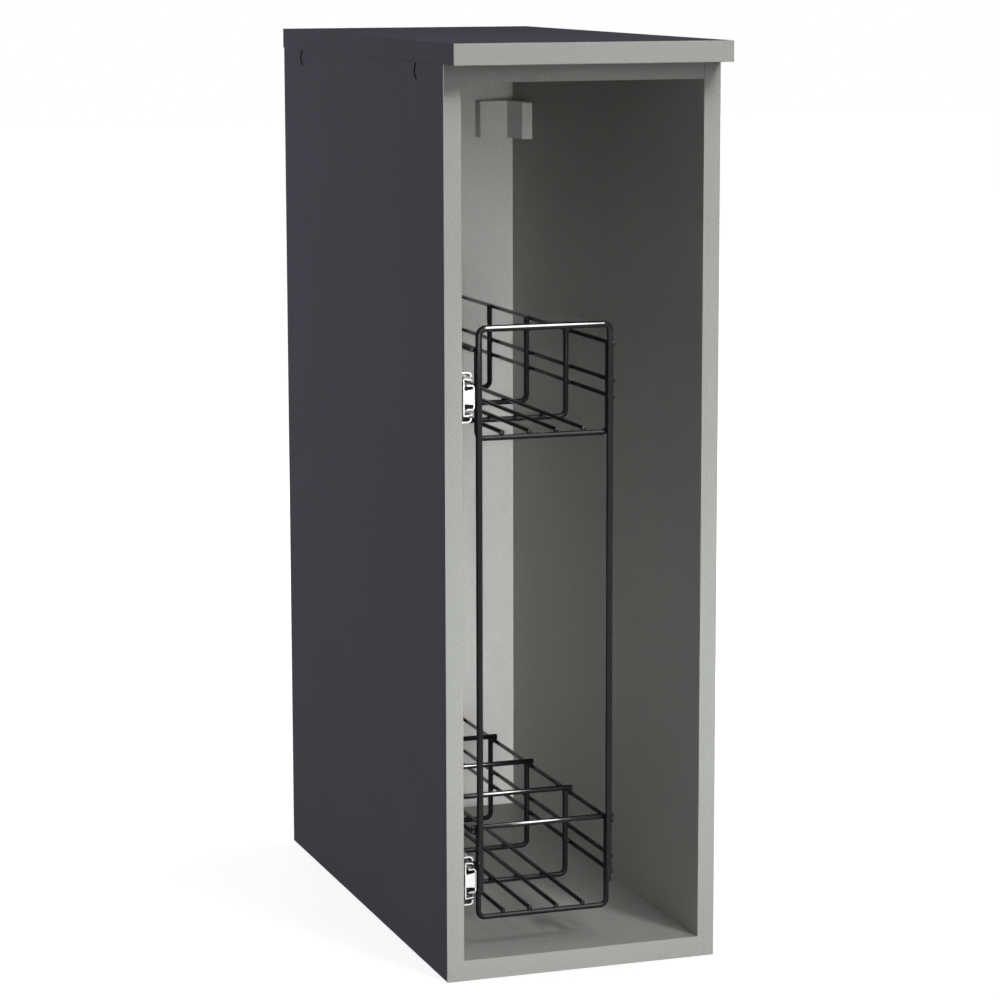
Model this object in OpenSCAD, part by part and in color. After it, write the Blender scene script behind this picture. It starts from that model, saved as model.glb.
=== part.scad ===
// Narrow kitchen base cabinet with a two-tier wire pull-out for spices and bottles.
// Millimetres. Z is up, the open front faces -Y, X points right seen from the front.
// The origin is under the middle of the whole cabinet, on the floor.

/* [Boards] */
// Width over both sides
cab_w = 262; // [240:1:320]
// Height from the floor to the face of the top
cab_h = 850; // [800:1:900]
// Depth of a side board with its front band
side_d = 520; // [500:1:560]
// Thickness of the side boards
side_t = 16; // [15:0.5:19]
// Thickness of the bottom board
bottom_t = 19; // [16:0.5:22]
// Thickness of the top board
top_t = 19; // [16:0.5:25]
// How far the top reaches past the front
top_over = 30; // [10:1:50]
// Thickness of the two rails under the top
rail_t = 16; // [15:0.5:19]
// Depth of a rail, front to back
rail_d = 100; // [90:1:120]
// How far the front rail stands back from the front
rail_back = 1; // [0.5:0.5:5]
// Thickness of the thin back panel
back_t = 3; // [2.5:0.5:5]
// How far the back panel stays inside the outline
back_in = 2; // [1:0.5:4]
// Thickness of the glued front bands
band_t = 1; // [0.6:0.1:2]

/* [Board fixings] */
// Distance from the front to the screws of the front rail
rail_screw_front = 78; // [60:1:90]
// Distance from the back to the screws of the rear rail
rail_screw_rear = 68; // [50:1:80]
// Distance of the rail dowels from the front or the back
rail_dowel_in = 27; // [18:1:32]
// Shank diameter of the rail screws
rail_screw_dia = 7; // [5:0.5:8]
// Length of the rail screws under the head
rail_screw_len = 43; // [36:1:50]
// Head diameter of the rail screws
rail_head_dia = 10; // [9:0.5:12]
// Head thickness of the rail screws
rail_head_t = 3.5; // [2.5:0.5:4]
// Diameter of the cover caps on the outside
cap_dia = 15; // [13:0.5:18]
// Thickness of a cover cap
cap_t = 2.2; // [1.5:0.1:3]
// How deep a cap lies under the face
cap_sink = 0.9; // [0.2:0.1:1.5]
// Dowel diameter
dowel_dia = 8; // [6:0.5:8]
// Dowel length
dowel_len = 30; // [25:1:35]
// Part of a dowel that sits in the side
dowel_in_side = 12; // [9:0.5:12]
// Diameter of the cam fittings under the bottom
cam_dia = 15; // [12:0.5:18]
// Height of a cam fitting
cam_h = 13; // [12:0.5:14]
// Distance from the side's inner face to a cam's centre
cam_in = 34; // [28:1:40]
// Distance of the cams from the front and the back
cam_edge = 60; // [45:1:80]
// Shank diameter of the cam bolts
bolt_dia = 6; // [5:0.5:6]
// Head diameter of the cam bolts
bolt_head = 7; // [6.5:0.1:7.5]
// Part of a cam bolt that sits in the side
bolt_in_side = 11; // [8:0.5:12]
// Distance of the bottom dowels from the cams
dowel_step = 32; // [24:1:40]
// Diameter of the screws that hold the top
top_screw_dia = 4; // [3.5:0.5:5]
// Length of the screws that hold the top
top_screw_len = 30; // [25:1:32]
// Half distance between the two top screws of a rail
top_screw_x = 70; // [50:1:80]
// Diameter of the back panel screws
back_screw_dia = 3; // [2.5:0.5:4]
// Length of the back panel screws
back_screw_len = 16; // [12:1:20]
// Distance of the outer back screws from the floor and the top
back_screw_end = 60; // [40:1:80]
// Half distance between the back screws in the bottom and the rail
back_screw_x = 60; // [40:1:70]

/* [Wall hangers] */
// Height of the hanger cover
hang_h = 37.5; // [34:0.5:44]
// Distance from the underside of the top to the cover
hang_drop = 57; // [30:1:80]
// Length of the cover's arm along the side
hang_len = 61; // [60:1:75]
// Width of the cover's arm
hang_arm = 11; // [10.5:0.5:14]
// Width of the cover's foot on the back panel
hang_foot = 30; // [25:1:35]
// Thickness of the cover's foot
hang_foot_d = 15; // [10:1:20]
// Wall of the cover
cover_t = 1.2; // [1:0.1:1.6]
// Sheet thickness of the bracket under the cover
bracket_t = 1.5; // [1.2:0.1:2]
// How far the hook reaches behind the back panel
hook_out = 8; // [6:0.5:12]
// Thickness of the hook's bar
hook_t = 4; // [3:0.5:4]
// Height of the hook's bar
hook_bar_h = 8; // [6:0.5:9]
// Thickness of the nose behind the wall rail
hook_nose = 5; // [4:0.5:5]
// How far the nose reaches down below the bar
hook_drop = 11; // [9:0.5:12]
// Diameter of the adjusting screw
adjust_dia = 5; // [4:0.5:5]
// How far the hook can be drawn in from rest
hook_in_travel = 2.5; // [1:0.5:2.5]
// How far the hook can be let out from rest
hook_out_travel = 5; // [3:0.5:6]
// Distance from the bracket's front wall to the hook's threaded block
hook_seat = 12.5; // [11:0.5:14]
// Shank diameter of the screws that hold the bracket
hang_screw_dia = 4; // [3.5:0.5:4.5]
// Part of a bracket screw that sits in the side board
hang_screw_in = 12; // [10:1:13]
// Distance of the rear bracket screw from the back of the side board
hang_screw_rear = 15; // [12:1:20]
// Distance of the bracket screws from the bracket's edges
hang_screw_edge = 8; // [7:0.5:10]

/* [Slides] */
// Length of a slide, closed
slide_len = 450; // [400:10:450]
// Height of a slide
slide_h = 45.8; // [45:0.1:48]
// Thickness of a slide, side board to basket
slide_w = 12.7; // [12.5:0.1:13.5]
// Distance of the slides from the front
slide_back = 4; // [2:0.5:10]
// Height of the lower slide's middle above the floor
lower_z = 93; // [80:1:120]
// Height of the upper slide's middle above the floor
upper_z = 537; // [450:1:600]
// Sheet thickness of the fixed member
outer_t = 1.2; // [1:0.1:1.4]
// Sheet thickness of the webs of the two moving members
web_t = 1; // [0.8:0.1:1.2]
// Diameter of the balls
ball_dia = 4.76; // [4.5:0.01:4.8]
// Length of a ball cage
cage_len = 200; // [150:5:200]
// Sheet thickness of a ball cage
cage_t = 0.4; // [0.3:0.05:0.5]
// Balls in each row of a cage
ball_n = 5; // [3:1:8]
// Full travel of the pull-out
travel = 440; // [380:5:440]
// Diameter of the slide screws
slide_screw_dia = 4; // [3.5:0.5:4.5]
// Length of the slide screws
slide_screw_len = 14; // [12:1:15]
// Distance of the outer slide screws from the ends of a slide
slide_screw_end = 36; // [25:1:60]

/* [Wire basket] */
// Width of the basket between the middles of its upright wires
basket_w = 125.2; // [110:0.1:140]
// Length of the basket, front face to rear face
basket_len = 451; // [420:1:460]
// Distance of the basket's tall frame from the front
basket_back = 8.5; // [6:0.5:20]
// Wire diameter of the tall frame
frame_dia = 6; // [5:0.5:7]
// Wire diameter of the hoops and cross bars
hoop_dia = 5; // [4:0.5:6]
// Wire diameter of the lengthwise wires
rail_dia = 4; // [3:0.5:5]
// Bend radius of the wires at their middle
bend_r = 6; // [5:0.5:10]
// Number of hoops in each basket
hoop_n = 5; // [4:1:6]
// Number of floor wires in each basket
floor_n = 4; // [3:1:5]
// Distance between the floor wires
floor_pitch = 26; // [20:1:28]
// Depth of a hoop below the slide's middle
hoop_down = 39.3; // [34:0.1:42]
// Height of the top side wires above the slide's middle
top_wire_up = 41; // [34:0.5:46]
// Distance between the two side wires at the slide
pair_gap = 15; // [14:0.5:18]
// Height of the tall frame's bar above the upper slide's middle
frame_up = 60; // [52:0.5:80]
// How far the tall frame reaches below the lower slide's middle
frame_down = 15; // [12:0.5:25]
// Thickness of the clamp plates that hold the basket
clamp_t = 1.5; // [1.2:0.1:2]
// Length of a clamp plate
clamp_len = 24; // [18:1:30]
// How far a clamp plate reaches past its two wires
clamp_over = 1.5; // [0.5:0.5:3]
// Diameter of the clamp screws
clamp_dia = 4; // [3:0.5:4]

/* [Hidden] */
$fn = 48;
fit = 0.1;
glue = 0;
sheet_gap = 0.5;
ball_gap = 0.05;
groove = 0.4;
run_gap = 0.3;
band_gap = glue;

total_d = top_over + side_d + back_t + hook_out;
xl = -cab_w / 2;
xr = cab_w / 2;
yf = -total_d / 2 + top_over;
yb = yf + side_d;
in_w = cab_w - 2 * side_t;
side_h = cab_h - top_t;
rail_z = side_h - rail_t;
bore_depth = rail_screw_len + rail_head_t + cap_t + cap_sink;

// Slide section, measured from the side board outward and from its middle upward.
br = ball_dia / 2;
race = br + ball_gap;
half = slide_h / 2;
ball_a_z = half - outer_t - race;
mid_top = ball_a_z - race + groove;
mid_low = mid_top - 2 * groove - web_t;
ball_b_z = mid_low + groove - race;
in_top = ball_b_z - race + groove;
in_low = in_top - groove - web_t;
cage_a_x = outer_t + sheet_gap;
mid_x = cage_a_x + cage_t + sheet_gap;
cage_b_x = mid_x + web_t + sheet_gap;
in_x = cage_b_x + cage_t + sheet_gap;
web_x = slide_w - web_t;
ball_a_x = mid_x + web_t + race + 0.6;
ball_b_x = in_x + race + 0.6;
slide_x = xl + side_t;
slide_y = yf + slide_back;
cage_y = slide_y + (slide_len - cage_len) / 2;
slide_at = [slide_screw_end, slide_len / 2, slide_len - slide_screw_end];
sink = 1.8;

// Basket, from the slide's face toward the middle of the cabinet.
frame_r = frame_dia / 2;
hoop_r = hoop_dia / 2;
rail_r = rail_dia / 2;
side_wire_x = slide_x + slide_w + run_gap + rail_r;
hoop_x = side_wire_x + rail_r + fit + hoop_r;
hoop_x2 = hoop_x + basket_w;
side_wire_x2 = hoop_x2 + hoop_r + fit + rail_r;
basket_mid = (hoop_x + hoop_x2) / 2;
frame_y = yf + basket_back + frame_r;
hoop_y = yf + basket_back + frame_dia + fit + hoop_r;
basket_end = yf + basket_back + basket_len;
hoop_pitch = (basket_end - hoop_r - hoop_y) / (hoop_n - 1);
wire_y = hoop_y - hoop_r + fit;
wire_len = basket_end - wire_y;
hoop_h = hoop_down + top_wire_up + rail_r;
clamp_spans = [0, 1, hoop_n - 2];
clamp_x = side_wire_x + rail_r + fit;
nut_t = 3.2;
nut_w = 7;
screw_head_t = 2.4;

// Hanger, drawn at the right side and mirrored for the left one.
hz = side_h - hang_drop - hang_h;
hx = xr - side_t;
hy = yb - hang_len;
ch_x = hx - hang_arm + cover_t + 1.3;
br_y = hy + cover_t + 3.8;
br_z = hz + 4.5;
br_h = hang_h - 9;
hook_mid = (ch_x + hx - bracket_t) / 2;
adjust_z = br_z + bracket_t + 4.5 + adjust_dia / 2;
bar_z = adjust_z + adjust_dia / 2 + 2.4;
nut_y = br_y + bracket_t + hook_seat;
nut_len = 8;
nose_z = bar_z - hook_drop;
tail_y = yb + back_t + hook_out;
adjust_end = nut_y + nut_len + hook_out_travel + 4;

dark = [0.24, 0.24, 0.27];
light = [0.66, 0.67, 0.64];
wire = [0.13, 0.14, 0.13];
zinc = [0.85, 0.86, 0.84];

// A rod along X, Y or Z that starts at a point.
module rod_x(p, l, r) translate(p) rotate([0, 90, 0]) cylinder(h = l, r = r);
module rod_y(p, l, r) translate(p) rotate([-90, 0, 0]) cylinder(h = l, r = r);
module rod_z(p, l, r) translate(p) cylinder(h = l, r = r);

// A quarter bend in the XZ plane, from one angle to ninety degrees further.
module bend(p, a, rb, r)
  translate(p) rotate([90, 0, 0]) rotate([0, 0, a])
    rotate_extrude(angle = 90) translate([rb, 0]) circle(r = r);

// Two copies, the second mirrored to the other side of the cabinet.
module both_sides() { children(); mirror([1, 0, 0]) children(); }

// Where the fixings of the rails and the bottom lie, front to back.
function rail_screw_ys() = [yf + rail_screw_front, yb - rail_screw_rear];
function rail_dowel_ys() = [yf + rail_dowel_in, yb - rail_dowel_in];
function cam_ys() = [yf + cam_edge, yb - cam_edge];
function bottom_dowel_ys() = [yf + cam_edge + dowel_step, yb - cam_edge - dowel_step];
function back_screw_zs() = [for (i = [0:3])
  back_screw_end + i * (side_h - 2 * back_screw_end) / 3];
function hoop_ys() = [for (i = [0:hoop_n - 1]) hoop_y + i * hoop_pitch];
function clamp_ys() = [for (i = clamp_spans) hoop_y + (i + 0.5) * hoop_pitch];

// Holes that every side board has, drawn for the right one.
module side_holes(slides) {
  for (y = rail_screw_ys()) {
    rod_x([xr - side_t - 1, y, rail_z + rail_t / 2], side_t + 2, rail_screw_dia / 2 + fit);
    rod_x([xr - cap_sink - cap_t - rail_head_t, y, rail_z + rail_t / 2],
      side_t, rail_head_dia / 2 + fit);
    rod_x([xr - cap_sink - cap_t, y, rail_z + rail_t / 2], side_t, cap_dia / 2 + fit);
  }
  for (y = rail_dowel_ys())
    rod_x([hx - 1, y, rail_z + rail_t / 2], dowel_in_side + 1 + fit, dowel_dia / 2 + fit / 2);
  for (y = bottom_dowel_ys())
    rod_x([hx - 1, y, bottom_t / 2], dowel_in_side + 1 + fit, dowel_dia / 2 + fit / 2);
  for (y = cam_ys())
    rod_x([hx - 1, y, bottom_t / 2], bolt_in_side + 1 + fit, bolt_dia / 2 + fit / 2);
  for (z = back_screw_zs())
    rod_y([xr - side_t / 2, yb - back_screw_len + back_t - fit, z],
      back_screw_len, back_screw_dia / 2 + fit / 2);
  for (p = hanger_screw_at())
    rod_x([hx - 1, p[0], p[1]], hang_screw_in + 1 + fit, hang_screw_dia / 2 + fit / 2);
}

module side_board() translate([xr - side_t, yf + band_t, 0])
  cube([side_t, side_d - band_t, side_h]);

module right_side() color(dark) difference() { side_board(); side_holes(); }

module left_side() color(dark) difference() {
  mirror([1, 0, 0]) side_board();
  mirror([1, 0, 0]) side_holes();
  for (z = [lower_z, upper_z], s = slide_at)
    translate([slide_x, slide_y + s, z]) rotate([0, -90, 0]) {
      translate([0, 0, -1]) cylinder(h = slide_screw_len + 1 - outer_t + fit,
        r = slide_screw_dia / 2 + fit / 2);
      translate([0, 0, -0.01]) cylinder(h = sink - outer_t + 0.06 + fit,
        r1 = slide_screw_dia / 2 + sink - outer_t + fit, r2 = slide_screw_dia / 2);
    }
}

module bottom_panel() color(light) difference() {
  translate([-in_w / 2, yf + band_t, 0]) cube([in_w, side_d - band_t, bottom_t]);
  both_sides() {
    for (y = cam_ys()) {
      translate([hx - cam_in, y, -1]) cylinder(h = cam_h + 1 + fit, r = cam_dia / 2 + fit);
      rod_x([hx - cam_in, y, bottom_t / 2], cam_in + 1, bolt_head / 2 + 2 * fit);
    }
    for (y = bottom_dowel_ys())
      rod_x([hx - dowel_len + dowel_in_side - fit, y, bottom_t / 2], dowel_len,
        dowel_dia / 2 + fit / 2);
  }
  for (s = [-1, 1])
    rod_y([s * back_screw_x, yb - back_screw_len + back_t - fit, bottom_t / 2],
      back_screw_len, back_screw_dia / 2 + fit / 2);
}

module top_panel() color(dark) difference() {
  translate([xl, yf - top_over + band_t, side_h])
    cube([cab_w, top_over - band_t + side_d + back_t, top_t]);
  for (y = [yf + rail_back + rail_d / 2, yb - rail_d / 2], s = [-1, 1])
    translate([s * top_screw_x, y, side_h - 1])
      cylinder(h = top_screw_len - rail_t + 1 + fit, r = top_screw_dia / 2 + fit / 2);
}

// A rail board with its holes, from y0 to y1.
module rail_board(y0, y1, screw_y, dowel_y) difference() {
  translate([-in_w / 2, y0, rail_z]) cube([in_w, y1 - y0, rail_t]);
  both_sides() {
    rod_x([xr - bore_depth - fit, screw_y, rail_z + rail_t / 2], bore_depth,
      rail_screw_dia / 2 + fit / 2);
    rod_x([hx - dowel_len + dowel_in_side - fit, dowel_y, rail_z + rail_t / 2], dowel_len,
      dowel_dia / 2 + fit / 2);
  }
}

// Countersunk holes for the top's screws through a rail whose middle is at y.
module rail_top_holes(y) for (s = [-1, 1]) translate([s * top_screw_x, y, rail_z]) {
  translate([0, 0, -1]) cylinder(h = rail_t + 2, r = top_screw_dia / 2 + fit);
  translate([0, 0, -0.01]) cylinder(h = top_screw_dia / 2 + fit + 0.01,
    r1 = top_screw_dia + fit, r2 = top_screw_dia / 2);
}

module front_rail() color(light) difference() {
  rail_board(yf + rail_back + band_t, yf + rail_back + rail_d, rail_screw_ys()[0],
    rail_dowel_ys()[0]);
  rail_top_holes(yf + rail_back + rail_d / 2);
}

module rear_rail() color(light) difference() {
  rail_board(yb - rail_d, yb, rail_screw_ys()[1], rail_dowel_ys()[1]);
  rail_top_holes(yb - rail_d / 2);
  for (s = [-1, 1])
    rod_y([s * back_screw_x, yb - back_screw_len + back_t - fit, rail_z + rail_t / 2],
      back_screw_len, back_screw_dia / 2 + fit / 2);
}

module back_panel() color([0.75, 0.75, 0.73]) difference() {
  translate([xl + back_in, yb, back_in]) cube([cab_w - 2 * back_in, back_t, side_h - back_in]);
  for (z = back_screw_zs(), s = [-1, 1])
    rod_y([s * (xr - side_t / 2), yb - 1, z], back_t + 2, back_screw_dia / 2 + fit);
  for (z = [bottom_t / 2, rail_z + rail_t / 2], s = [-1, 1])
    rod_y([s * back_screw_x, yb - 1, z], back_t + 2, back_screw_dia / 2 + fit);
  both_sides() hook_window(yb - 1, back_t + 2);
}

// The window that a hook passes through.
module hook_window(y, d)
  translate([hook_mid - hook_t / 2 - 1.5, y, nose_z - 1.5])
    cube([hook_t + 3, d, hook_drop + hook_bar_h + 3]);

module side_edge_bands() color(light) both_sides()
  translate([xr - side_t, yf, 0]) cube([side_t, band_t, side_h]);
module bottom_edge_band() color(light)
  translate([-in_w / 2, yf, 0]) cube([in_w, band_t, bottom_t]);
module top_edge_band() color(light)
  translate([xl, yf - top_over, side_h]) cube([cab_w, band_t, top_t]);
module rail_edge_band() color(light)
  translate([-in_w / 2, yf + rail_back, rail_z]) cube([in_w, band_t, rail_t]);

module rail_screws() color(zinc) both_sides() for (y = rail_screw_ys())
  translate([xr - cap_sink - cap_t, y, rail_z + rail_t / 2]) rotate([0, -90, 0]) difference() {
    union() {
      cylinder(h = rail_head_t, r = rail_head_dia / 2);
      cylinder(h = rail_head_t + rail_screw_len, r = rail_screw_dia / 2);
    }
    translate([0, 0, -1]) cylinder(h = 3.5, r = 2.3, $fn = 6);
  }

module rail_screw_caps() color(dark) both_sides() for (y = rail_screw_ys())
  translate([xr - cap_sink, y, rail_z + rail_t / 2]) rotate([0, -90, 0]) union() {
    cylinder(h = cap_t, r = cap_dia / 2);
    cylinder(h = cap_t + 2, r = 1.8);
  }

module rail_dowels() color([0.8, 0.68, 0.5]) both_sides() for (y = rail_dowel_ys())
  rod_x([hx - dowel_len + dowel_in_side, y, rail_z + rail_t / 2], dowel_len, dowel_dia / 2);

module bottom_dowels() color([0.8, 0.68, 0.5]) both_sides() for (y = bottom_dowel_ys())
  rod_x([hx - dowel_len + dowel_in_side, y, bottom_t / 2], dowel_len, dowel_dia / 2);

module bottom_cams() color(zinc) both_sides() for (y = cam_ys()) difference() {
  translate([hx - cam_in, y, 0]) cylinder(h = cam_h, r = cam_dia / 2);
  rod_x([hx - cam_in - bolt_head / 2 - fit, y, bottom_t / 2], cam_dia, bolt_head / 2 + fit);
  translate([hx - cam_in, y, -1]) cylinder(h = 3, r = 3, $fn = 6);
}

module bottom_cam_bolts() color(zinc) both_sides() for (y = cam_ys()) {
  rod_x([hx - cam_in, y, bottom_t / 2], cam_in + bolt_in_side, bolt_dia / 2);
  rod_x([hx - cam_in - bolt_head / 2, y, bottom_t / 2], bolt_head, bolt_head / 2);
}

module top_screws() color(zinc)
  for (y = [yf + rail_back + rail_d / 2, yb - rail_d / 2], s = [-1, 1])
    translate([s * top_screw_x, y, rail_z]) difference() {
      union() {
        cylinder(h = top_screw_len, r = top_screw_dia / 2);
        cylinder(h = top_screw_dia / 2, r1 = top_screw_dia, r2 = top_screw_dia / 2);
      }
      translate([0, 0, -1]) cross_slot(1.6);
    }

// A cross recess for a screwdriver, cut one millimetre above and some way down.
module cross_slot(d) for (a = [0, 90]) rotate([0, 0, a])
  translate([-1.6, -0.45, 0]) cube([3.2, 0.9, d + 1]);

module back_screw(x, z) translate([x, yb + back_t, z]) rotate([90, 0, 0]) difference() {
  union() {
    translate([0, 0, -1.6]) cylinder(h = 1.6, r = back_screw_dia);
    cylinder(h = back_screw_len, r = back_screw_dia / 2);
  }
  translate([0, 0, -2.6]) cross_slot(1);
}

module back_screws() color(zinc) {
  for (z = back_screw_zs(), s = [-1, 1]) back_screw(s * (xr - side_t / 2), z);
  for (z = [bottom_t / 2, rail_z + rail_t / 2], s = [-1, 1]) back_screw(s * back_screw_x, z);
}

// The hanger's cover, a hollow angle piece against the side and the back panel.
module cover_shape(t) {
  translate([hx - hang_arm + t, hy + t, hz + t])
    cube([hang_arm - t + (t > 0 ? 1 : 0), hang_len - t + (t > 0 ? 1 : 0), hang_h - 2 * t]);
  translate([hx - hang_arm - hang_foot + t, yb - hang_foot_d + t, hz + t])
    cube([hang_foot + 1, hang_foot_d - t + (t > 0 ? 1 : 0), hang_h - 2 * t]);
}

module hanger_covers() color([0.62, 0.62, 0.61]) both_sides()
  difference() { cover_shape(0); cover_shape(cover_t); }

function hanger_screw_at() = [[br_y + hang_screw_edge - 2, br_z + br_h - hang_screw_edge],
  [yb - hang_screw_rear, br_z + hang_screw_edge]];

module hanger_brackets() color(zinc) both_sides() difference() {
  union() {
    translate([hx - bracket_t, br_y, br_z]) cube([bracket_t, yb - br_y, br_h]);
    translate([ch_x, br_y, br_z]) cube([hx - ch_x, yb - br_y, bracket_t]);
    translate([ch_x, br_y, br_z + br_h - bracket_t]) cube([hx - ch_x, yb - br_y, bracket_t]);
    translate([ch_x, br_y, br_z]) cube([hx - ch_x, bracket_t, br_h]);
    translate([hx - hang_arm - hang_foot + cover_t + 3, yb - bracket_t, br_z])
      cube([hang_arm + hang_foot - cover_t - 3, bracket_t, br_h]);
  }
  hook_window(yb - bracket_t - 1, bracket_t + 2);
  rod_y([hook_mid, br_y - 1, adjust_z], bracket_t + 2, adjust_dia / 2 + run_gap);
  for (p = hanger_screw_at())
    rod_x([hx - bracket_t - 1, p[0], p[1]], bracket_t + 2, hang_screw_dia / 2 + fit);
}

module hanger_screws() color(zinc) both_sides() for (p = hanger_screw_at()) {
  rod_x([hx - bracket_t - hang_screw_dia / 2, p[0], p[1]], hang_screw_dia / 2,
    hang_screw_dia * 0.8);
  rod_x([hx - bracket_t - 1, p[0], p[1]], hang_screw_in + bracket_t + 1, hang_screw_dia / 2);
}

// A hook: a bar above the adjusting screw, a threaded block in front, a nose behind.
module hook() difference() {
  union() {
    translate([hook_mid - hook_t / 2, nut_y, bar_z]) cube([hook_t, tail_y - nut_y, hook_bar_h]);
    translate([hook_mid - hook_t / 2, tail_y - hook_nose, nose_z])
      cube([hook_t, hook_nose, hook_drop + hook_bar_h]);
    translate([hook_mid - 3, nut_y, adjust_z - adjust_dia / 2 - 2.4])
      cube([6, nut_len, bar_z + 2 - adjust_z + adjust_dia / 2 + 2.4]);
  }
  rod_y([hook_mid, nut_y - 1, adjust_z], nut_len + 2, adjust_dia / 2 + ball_gap);
}

module hook_right() color(zinc) hook();
module hook_left() color(zinc) mirror([1, 0, 0]) hook();

module adjust_screw() difference() {
  union() {
    rod_y([hook_mid, br_y - run_gap - 2.6, adjust_z], 2.6, adjust_dia / 2 + 1);
    rod_y([hook_mid, br_y - run_gap - 1, adjust_z], adjust_end - br_y + run_gap + 1,
      adjust_dia / 2);
    rod_y([hook_mid, br_y + bracket_t + run_gap, adjust_z], 1.2, adjust_dia / 2 + 0.9);
  }
  translate([hook_mid, br_y - run_gap - 3.6, adjust_z]) rotate([-90, 0, 0]) cross_slot(1.2);
}

module adjust_screw_right() color(zinc) adjust_screw();
module adjust_screw_left() color(zinc) mirror([1, 0, 0]) adjust_screw();

// Places a slide's section: x from the side board, y from the slide's front, z from its middle.
module at_slide(z) translate([slide_x, slide_y, z]) children();
module up_down() { children(); mirror([0, 0, 1]) children(); }

module slide_outer(z) color(zinc) at_slide(z) difference() {
  union() {
    translate([0, 0, -half]) cube([outer_t, slide_len, slide_h]);
    up_down() {
      translate([0, 0, half - outer_t]) cube([ball_a_x, slide_len, outer_t]);
      intersection() {
        difference() {
          rod_y([ball_a_x, 0, ball_a_z], slide_len, race + outer_t);
          rod_y([ball_a_x, -1, ball_a_z], slide_len + 2, race);
        }
        translate([ball_a_x, 0, ball_a_z - 0.9]) cube([2 * race, slide_len, 3 * race]);
      }
    }
  }
  for (s = slide_at) translate([0, s, 0]) rotate([0, 90, 0])
    translate([0, 0, -0.6]) cylinder(h = outer_t + 0.6 + 0.01,
      r1 = slide_screw_dia / 2 + fit, r2 = slide_screw_dia / 2 + sink + fit);
}

module slide_middle(z) color(zinc) at_slide(z) difference() {
  union() {
    translate([mid_x, 0, -mid_top]) cube([web_t, slide_len, 2 * mid_top]);
    up_down() translate([mid_x, 0, mid_low])
      cube([ball_b_x + race + 0.2 - mid_x, slide_len, mid_top - mid_low]);
  }
  up_down() {
    rod_y([ball_a_x, -1, ball_a_z], slide_len + 2, race);
    rod_y([ball_b_x, -1, ball_b_z], slide_len + 2, race);
  }
}

module slide_inner(z) color(zinc) at_slide(z) difference() {
  union() {
    translate([web_x, 0, -in_top]) cube([web_t, slide_len, 2 * in_top]);
    up_down() translate([in_x, 0, in_low]) cube([slide_w - in_x, slide_len, in_top - in_low]);
    translate([in_x, 0, -in_low + 3]) cube([slide_w - in_x, web_t, 2 * in_low - 6]);
  }
  up_down() rod_y([ball_b_x, -1, ball_b_z], slide_len + 2, race);
  for (y = clamp_ys()) rod_x([web_x - 1, y - slide_y, 0], web_t + 2, clamp_dia / 2 + fit);
}

// A ball cage: a thin channel with open notches, x0 its web and x1 its open edge.
module cage(z, x0, x1, bx, bz) color([0.7, 0.71, 0.72]) at_slide(z)
  translate([0, cage_y - slide_y, 0]) difference() {
    union() {
      translate([x0, 0, -bz]) cube([cage_t, cage_len, 2 * bz]);
      up_down() translate([x0, 0, bz - cage_t / 2]) cube([x1 - x0, cage_len, cage_t]);
    }
    for (y = ball_ys(), s = [-1, 1])
      translate([bx, y, s * bz - 1]) cylinder(h = 2, r = br + fit);
  }

function ball_ys() = [for (i = [0:ball_n - 1]) cage_len * (i + 0.5) / ball_n];

module balls(z, bx, bz) color([0.9, 0.9, 0.92]) at_slide(z)
  for (y = ball_ys(), s = [-1, 1]) translate([bx, cage_y - slide_y + y, s * bz]) sphere(r = br);

module slide_screws() color(zinc) for (z = [lower_z, upper_z], s = slide_at)
  translate([slide_x + outer_t, slide_y + s, z]) rotate([0, -90, 0]) difference() {
    union() {
      cylinder(h = slide_screw_len, r = slide_screw_dia / 2);
      cylinder(h = sink, r1 = slide_screw_dia / 2 + sink, r2 = slide_screw_dia / 2);
    }
    translate([0, 0, -1]) cross_slot(0.9);
  }

// The tall frame, one bent wire that joins both baskets at the front.
module tall_frame() color(wire) {
  top = upper_z + frame_up;
  foot = lower_z - frame_down;
  for (x = [hoop_x, hoop_x2])
    rod_z([x, frame_y, foot], top - bend_r - foot, frame_r);
  rod_x([hoop_x + bend_r, frame_y, top], basket_w - 2 * bend_r, frame_r);
  bend([hoop_x2 - bend_r, frame_y, top - bend_r], 0, bend_r, frame_r);
  bend([hoop_x + bend_r, frame_y, top - bend_r], 90, bend_r, frame_r);
}

// One hoop, a wire bent to a U.
module hoop(y, z) {
  b = z - hoop_down;
  for (x = [hoop_x, hoop_x2]) rod_z([x, y, b + bend_r], hoop_h - bend_r, hoop_r);
  rod_x([hoop_x + bend_r, y, b], basket_w - 2 * bend_r, hoop_r);
  bend([hoop_x2 - bend_r, y, b + bend_r], 270, bend_r, hoop_r);
  bend([hoop_x + bend_r, y, b + bend_r], 180, bend_r, hoop_r);
}

module hoops(z) color(wire) for (y = hoop_ys()) hoop(y, z);

module side_wires(z) color(wire)
  for (x = [side_wire_x, side_wire_x2], dz = [top_wire_up, pair_gap / 2, -pair_gap / 2])
    rod_y([x, wire_y, z + dz], wire_len, rail_r);

module floor_wires(z) color(wire) for (i = [0:floor_n - 1])
  rod_y([basket_mid + (i - (floor_n - 1) / 2) * floor_pitch, wire_y,
    z - hoop_down + hoop_r + fit + rail_r], wire_len, rail_r);

module lower_cross_bars() color(wire) for (y = hoop_ys())
  rod_x([side_wire_x - rail_r, y, lower_z + top_wire_up + rail_r + fit + hoop_r],
    side_wire_x2 - side_wire_x + 2 * rail_r, hoop_r);

module clamp_plates() color(wire) for (z = [lower_z, upper_z], y = clamp_ys()) {
  h = pair_gap + rail_dia + 2 * clamp_over;
  difference() {
    translate([clamp_x, y - clamp_len / 2, z - h / 2]) cube([clamp_t, clamp_len, h]);
    rod_x([clamp_x - 1, y, z], clamp_t + 2, clamp_dia / 2 + fit);
  }
}

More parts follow.
